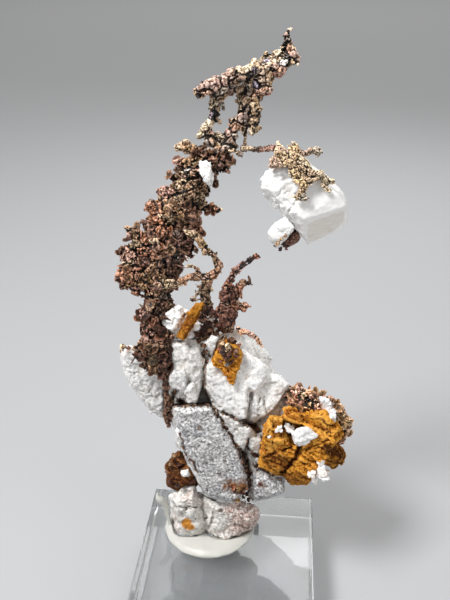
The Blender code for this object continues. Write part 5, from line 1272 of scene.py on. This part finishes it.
def crack(face):
    """Sinks the calcite's crevices, thin cracks and pits, and stains it brown where copper weathered."""
    uneven = 0.75 + 0.9 * face.grain(0.9, seed=2.0)
    for dark_share, knots in CREVICES:
        share = face.along(knots) * uneven
        face.carve(share * 1.3, 1.2 * dark_share)
        face.mark("crevice", smooth(share * 2.0 - 0.15) * face.front * dark_share)
        face.mark("rust", smooth(share * 2.2) * 0.35 * face.front)
    for knots in THIN_CRACKS:
        share = face.along(knots) * uneven * smooth(face.grain(0.9, seed=21.0) * 3.0 + 1.0)
        face.carve(share * 1.4, 0.35)
        face.mark("crevice", smooth(share * 1.5) * 0.8 * face.front)
    for x, z, radius in PITS:
        share = face.spot(x, z, radius) * uneven
        face.carve(share * 1.2, radius * 0.7)
        face.mark("crevice", smooth(share * 1.5) * 0.75 * face.front)
    patchy = 0.4 + 1.3 * (0.5 + face.grain(0.7, seed=31.0))
    for x, z, radius, amount in RUST_SPOTS:
        face.mark("rust", smooth(face.spot(x, z, radius) * patchy * 1.5 - 0.15) * amount * face.front)


def crevice_grains(tree, mat):
    """Copper and brown grains that fill the crevices, thickest where they are widest."""
    rng = random.Random(1)
    heap = Heap()
    for dark_share, knots in CREVICES:
        for (ax, az, aw), (bx, bz, bw) in zip(knots, knots[1:]):
            length = math.hypot(bx - ax, bz - az)
            for _ in range(int(length * (aw + bw) * 6.0 * dark_share)):
                share = rng.random()
                width = aw + (bw - aw) * share
                x = ax + (bx - ax) * share + rng.gauss(0.0, 0.4) * width
                z = az + (bz - az) * share + rng.gauss(0.0, 0.4) * width
                place, normal = seen_on(tree, x, z)
                if place is not None:
                    kind = rng.choice(("dark", "brown", "tan", "maroon", "brown"))
                    crumb(heap, rng, place, normal, 0.14, 0.36, colour(TARNISH[kind]))
    grains = new_object("crevice_grains", heap.mesh("crevice_grains"))
    show("crevice_grains", grains, mat, [], flat=True)


def matrix_stone(mat, grain_mat):
    """The white and grey calcite that everything grows on."""
    obj = solid_of("calcite_matrix")
    skin(obj, 0.27)
    face = Surface(obj)
    face.wobble(1.7, 0.5)
    cleave(face)
    face.look()
    face.wobble(1.7, 0.5)
    face.wobble(0.5, 0.3, seed=9.0)
    crack(face)
    face.look()
    # relief tints the hollows brownish, partly dirt and partly painted shade
    face.mark("relief", face.relief(16, 0.35))
    face.store()
    tree = tree_of(obj)
    show("calcite_stone", obj, mat, ["calcite_matrix"])
    crevice_grains(tree, grain_mat)


def foot_stone(mat):
    """The pinkish, lumpy calcite that stands in the putty."""
    obj = solid_of("calcite_foot")
    skin(obj, 0.24)
    face = Surface(obj)
    face.lift(face.grain(2.4) * 0.5 - 0.1)
    face.look()
    face.break_up(1.6, 0.16, 0.34, 0.06, 3.0)
    face.break_up(0.6, 0.06, 0.18, 0.04, 7.0)
    face.lift(face.grain(0.3, seed=6.0) * 0.06)
    face.wobble(1.2, 0.5)
    pink = smooth((face.x - PINK_LEFT) / 3.0) * smooth((face.z - PINK_FOOT) / 2.0)
    face.mark("slab", pink * 0.8)
    for knots in FOOT_CREASES:
        share = face.along(knots)
        face.carve(share * 1.4, 0.9)
        face.mark("crevice", smooth(share * 1.4) * 0.25 * face.front)
    for x, z, radius in FOOT_PITS:
        share = face.spot(x, z, radius)
        face.carve(share * 1.5, radius)
        face.mark("crevice", smooth(share * 1.6) * 0.85 * face.front)
    for x, z, radius in FOOT_RUST:
        face.mark("rust", smooth(face.spot(x, z, radius) * 2.4) * face.front)
    face.look()
    # relief tints the hollows brownish, partly dirt and partly painted shade
    face.mark("relief", face.relief(12, 0.4))
    face.store()
    show("calcite_foot_stone", obj, mat, ["calcite_foot"])


def crumbling(name, node, mat, seed, lumps, size, step, grain=0.2, carvings=(), lit=(), darkened=()):
    """Earthy limonite: it broke into slanting plates and crumbs.

    carvings are drawn lines with a depth, lit and darkened drawn lines with an amount: lit ones are painted
    light, darkened ones darker brown, on the ochre limonite partly painted shade.
    """
    obj = solid_of(node)
    rng = random.Random(seed)
    crumbs = Heap()
    for place, normal in scattered(obj, rng, lumps):
        radius = rng.uniform(0.3, 0.7) * size / 1.5
        stretch = np.array([rng.uniform(0.7, 1.4) for _ in range(3)])
        crumbs.put(rng.choice(NUGGETS), place - normal * radius * 0.45, radius * stretch, turned(rng))
    join(obj, new_object("crumbs", crumbs.mesh("crumbs")))
    skin(obj, grain)
    face = Surface(obj)
    number = face.break_up(size, step, step * 0.8, step * 0.25, seed, stretch=(1.9, 1.3, 0.62), turn=PLATES)
    face.break_up(size * 0.4, step * 0.22, step * 0.34, step * 0.1, seed + 3.0, stretch=(1.5, 1.2, 0.7),
                  turn=PLATES)
    face.lift(face.grain(0.34, seed=8.0) * 0.14)
    face.wobble(1.0, 0.4)
    face.mark("number", number)
    for knots, depth in carvings:
        share = face.along(knots) * (0.8 + 0.6 * face.grain(0.9))
        face.carve(share * 1.2, depth)
        face.mark("crevice", smooth(share * 1.4) * 0.85 * face.front)
    # Painted light along the lit lines, which the material turns yellow
    for knots, amount in lit:
        face.mark("shine", smooth(face.along(knots) * 1.5) * amount * face.front)
    patchy = 0.85 + face.grain(0.8, (2.0, 1.2, 0.6), PLATES, 12.0)
    # The darkened lines take the hollow colour, on the ochre limonite partly as painted shade
    for knots, amount in darkened:
        face.mark("crevice", smooth(face.along(knots) * 1.5 * patchy) * amount * face.front)
    face.look()
    # relief drives the limonite's painted yellow highlights and dark shade
    face.mark("relief", 0.5 * face.relief(18, 0.6) + 0.5 * face.relief(5, 0.16))
    face.store()
    tree = tree_of(obj)
    show(name, obj, mat, [node])
    return tree


def set_crystals(name, tree, mat, places, seed, proud=0.25, depth=0.0):
    """Small broken crystals sitting on a skin, each drawn as x, z, width and height."""
    rng = random.Random(seed)
    heap = Heap()
    for x, z, width, height in places:
        place, normal = found_on(tree, x, z, depth)
        block = rhomb(width, width * rng.uniform(0.7, 1.0), height, wear=min(width, height) * 0.14)
        turn = np.array(Euler([rng.uniform(-0.5, 0.5) for _ in range(3)]).to_matrix())
        heap.put(block, place + normal * proud * min(width, height) * 0.6, 0.82, turn, shade=0.0, rust=0.0)
        for _ in range(3):
            chip = rng.choice(NUGGETS)
            shift = Vector([rng.uniform(-0.4, 0.4) for _ in range(3)])
            shift = Vector((shift.x * width, shift.y * width, shift.z * height))
            heap.put(chip, place + normal * proud * width + shift,
                     np.array((width, width, height)) * rng.uniform(0.25, 0.42), turned(rng),
                     shade=rng.uniform(0.0, 0.4), rust=0.0)
    show(name, new_object(name, heap.mesh(name)), mat, [], flat=True)


def white_crystal(name, node, mat, grain, lumps, rough=0.1, facets=0.0, broken=None, shades=(), rusts=()):
    """A calcite crystal whose faces stay flat, with worn edges.

    lumps and rough are how high its coarse and its fine lumps are, facets how far its chipped planes stand
    apart, and broken the drawn x left of which it is chipped. shades are outlines painted beige as shade,
    with an amount each, and rusts spots with a radius and an amount.
    """
    obj = solid_of(node)
    skin(obj, grain)
    soften(obj, 2)
    face = Surface(obj)
    chipped = np.zeros(len(face.points))
    if broken is not None:
        chipped = smooth((broken - face.x) / 4.0 + 0.5)
    coarse = face.grain(1.7)
    _, height, number = face.crystals(1.5, 8.0)
    chips = (height * 1.4 + number - 0.5) * (facets + 0.4 * chipped)
    face.lift(coarse * (lumps + 0.2 * chipped) + chips + face.grain(0.75, seed=4.0) * (rough + 0.1 * chipped))
    face.look()
    face.lift(face.grain(0.4, seed=6.0) * (rough * 0.6 + 0.06 * chipped))
    face.wobble(1.0, 0.3)
    if facets:
        face.break_up(0.55, facets * 0.4, facets * 0.5, 0.03, 5.0)
    # Dents of the coarse lumps get a little painted beige shade
    face.mark("shade", smooth(-coarse * 1.6 - 0.15) * 0.12)
    # Painted shade inside each outline
    for outline, amount in shades:
        uneven = 0.85 + 0.4 * face.grain(1.1, (1.0, 1.0, 0.4))
        face.mark("shade", face.inside(outline) * amount * uneven)
    for x, z, radius, amount in rusts:
        face.mark("rust", smooth(face.spot(x, z, radius) * 1.5) * amount * face.front)
    face.store()
    show(name, obj, mat, [node])


def bars(name, mat, rows):
    """Long calcite crystals: each is drawn as both ends, its width and its depth behind the drawing plane."""
    heap = Heap()
    for x0, z0, x1, z1, width, depth in rows:
        start, end = at(x0, z0, depth), at(x1, z1, depth)
        turn = np.array((end - start).to_track_quat("X", "Z").to_matrix())
        heap.put(rhomb((end - start).length, width, width, wear=width * 0.12), (start + end) / 2, 1.0, turn,
                 shade=0.0, rust=0.0)
    show(name, new_object(name, heap.mesh(name)), mat, [], flat=True)


# The block, the putty and the whole specimen

def acrylic_block(mat):
    """The block, with its edges rounded by polishing."""
    bm = bmesh.new()
    bmesh.ops.create_cube(bm, size=1.0)
    for v in bm.verts:
        v.co = Vector((v.co.x * BLOCK_SIDE, v.co.y * BLOCK_SIDE, (v.co.z + 0.5) * BLOCK_HEIGHT))
    bmesh.ops.bevel(bm, geom=bm.edges[:], offset=BLOCK_EDGE, segments=3, profile=0.6, affect="EDGES")
    mesh = bpy.data.meshes.new("block")
    bm.to_mesh(mesh)
    bm.free()
    mesh.transform(SPECIMEN.inverted())
    show("polished_acrylic_block", new_object("block", mesh), mat, ["acrylic_block"])


def putty(mat):
    """The putty that the foot stands in, soft and uneven where it was pressed up."""
    obj = solid_of("mounting_putty")
    skin(obj, 0.22)
    soften(obj, 8)
    face = Surface(obj)
    face.lift(face.grain(3.0) * 0.18 + face.grain(1.2, seed=2.0) * 0.05)
    face.store()
    show("pressed_putty", obj, mat, ["mounting_putty"])


def everything():
    """All the solids of the specimen as one skin to look for places on."""
    whole = solid_of("calcite_matrix")
    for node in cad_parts:
        if node not in ("calcite_matrix", "acrylic_block", "mounting_putty"):
            join(whole, solid_of(node))
    tree = tree_of(whole)
    bpy.data.objects.remove(whole)
    return tree


def build():
    white = weathered_calcite("weathered_calcite", white="#DEDCD8", grey="#AEAEB2", dirt_and_shade="#A08F78",
                              crack="#35261C", rust_tone="#84552A", warmth=0.45)
    pink = weathered_calcite("pink_calcite", white="#E0DCD6", grey="#CDA99B", dirt_and_shade="#A89582",
                             crack="#4A382B", rust_tone="#C8842A", warmth=0.4)
    fresh = fresh_calcite()
    ochre = earthy_limonite("ochre_limonite", yellow="#E6A94C", ochre="#D08A26", brown="#A25D16",
                            hollow="#4A260C")
    brown = earthy_limonite("brown_limonite", yellow="#94643A", ochre="#5C3216", brown="#3E2112",
                            hollow="#150A06")
    tarnished = tarnished_copper()
    anywhere = everything()

    acrylic_block(clear_acrylic())
    putty(mounting_putty())
    foot_stone(pink)
    matrix_stone(white, tarnished)

    lump = crumbling("brown_limonite_crumbs", "brown_limonite", brown, seed=41, lumps=30,
                     size=1.6, step=0.5)
    bits("brown_limonite_copper", lump, tarnished, BROWN_LIMONITE_COPPER, seed=44)
    set_crystals("brown_limonite_crystals", lump, fresh, BROWN_LIMONITE_CRYSTALS, seed=45)
    lump = crumbling("ochre_limonite_crumbs", "ochre_limonite", ochre, seed=51, lumps=40,
                     size=2.4, step=0.75, grain=0.22, carvings=OCHRE_CLEFTS, lit=OCHRE_LIT,
                     darkened=OCHRE_DARKENED)
    set_crystals("limonite_crystals", lump, fresh, LIMONITE_CRYSTALS, seed=56, depth=-2.0)
    set_crystals("corner_crystals", lump, fresh, CORNER_CRYSTALS, seed=58, proud=0.8,
                 depth=-3.0)
    white_crystal("cavity_calcite", "cavity_crystals", fresh, grain=0.16, lumps=0.1, facets=0.2)

    crust = copper("crust_copper", "copper_quartz_crust", tarnished, "native_copper", CRUST, seed=61,
                   grain=0.18, fill=60, radii=(0.5, 0.9), kinds=("gold", "tan", "cream", "brown", "rosy"),
                   size=1.2, step=0.3, fines=90, crease=0.7, tone=1.5, leaves=150, leaf_size=1.2)
    set_crystals("crust_crystals", crust, milky_quartz(), CRUST_CRYSTALS, seed=66)
    needles(tarnished, crust)
    white_crystal("upper_calcite_cluster", "upper_calcite", fresh, grain=0.16, lumps=0.25, facets=0.3,
                  rusts=UPPER_CALCITE_RUST)
    crumbling("limonite_sheet_crumbs", "limonite_sheet", ochre, seed=81, lumps=14,
              size=0.9, step=0.15, grain=0.12, darkened=SHEET_BROWNED)
    crumbling("limonite_patch_crumbs", "limonite_patch", ochre, seed=201, lumps=24,
              size=1.1, step=0.35, grain=0.14, lit=PATCH_LIT)
    bits("patch_copper", anywhere, tarnished, PATCH_COPPER, seed=205)
    bits("neck_copper", anywhere, tarnished, NECK_COPPER, seed=207)
    bits("strand_copper", anywhere, tarnished, STRAND_COPPER, seed=213, before=-1.5)
    bits("white_flakes", anywhere, fresh, WHITE_FLAKES, seed=209, fines=0)

    for name, node, slot, rows, habit in BRANCHES:
        copper(name, node, tarnished, slot, rows, **habit)
    bits("link_strips", anywhere, tarnished, LINK_STRIPS, seed=211)
    bars("grey_bars", fresh, GREY_BARS)
    white_crystal("hanging_calcite", "hanging_crystal", fresh, grain=0.18, lumps=0.09, rough=0.07,
                  broken=HANGING_CRYSTAL_BREAK, shades=HANGING_CRYSTAL_SHADES)
    white_crystal("small_calcite", "small_crystal", fresh, grain=0.15, lumps=0.1, facets=0.16)
    white_crystal("plume_chip", "calcite_chip", fresh, grain=0.11, lumps=0.05, rough=0.05, facets=0.24)


# The room

# The floor reaches this far to each side, and lies a little under the block so that their faces don't meet
FLOOR_HALF = 4.0
FLOOR_DROP = 0.0001

# Each lamp: name, place and width in metres, power in watts. All point at LIT_PLACE
LIGHTS = (
    ("key", (-0.16, -0.16, 0.4), 0.1, 1.9),
    ("side", (0.34, -0.2, 0.2), 0.2, 0.3),
    ("rear", (0.06, 0.3, 0.3), 0.2, 0.5),
    ("far", (0.0, 1.5, 1.4), 1.6, 11.0),
)
LIT_PLACE = (0.0, 0.005, 0.06)

CAMERA_LENS = 41.4
SENSOR_WIDTH = 36.0
CAMERA_TILT = math.radians(62)


def studio():
    """A pale floor, soft light and the camera where the photograph was taken."""
    half, drop = FLOOR_HALF, -FLOOR_DROP
    mesh = bpy.data.meshes.new("floor")
    mesh.from_pydata([(-half, -half, drop), (half, -half, drop), (half, half, drop), (-half, half, drop)],
                     [], [(0, 1, 2, 3)])
    floor = new_object("floor", mesh)
    mat, _, shader, _ = blank("pale_floor")
    wire(shader, {"Base Color": "#ABACAE", "Roughness": 0.8})
    floor.data.materials.append(mat)

    world = bpy.data.worlds.new("room")
    bpy.context.scene.world = world
    world.use_nodes = True
    wire(world.node_tree.nodes["Background"], {"Color": "#EEEDEB", "Strength": 0.48})

    for name, place, width, power in LIGHTS:
        light = bpy.data.lights.new(name, "AREA")
        light.size = width
        light.energy = power
        lamp = new_object(name, light)
        lamp.location = place
        lamp.rotation_euler = (Vector(LIT_PLACE) - lamp.location).to_track_quat("-Z", "Y").to_euler()
    bpy.context.scene.view_settings.view_transform = "Standard"

    camera = bpy.data.cameras.new("camera")
    camera.lens = CAMERA_LENS
    camera.sensor_width = SENSOR_WIDTH
    camera.clip_start = MM
    eye = new_object("camera", camera)
    eye.location = TO_PART @ Vector(EYE)
    eye.rotation_euler = (CAMERA_TILT, 0.0, SPECIMEN_TURN)
    bpy.context.scene.camera = eye


build()
studio()
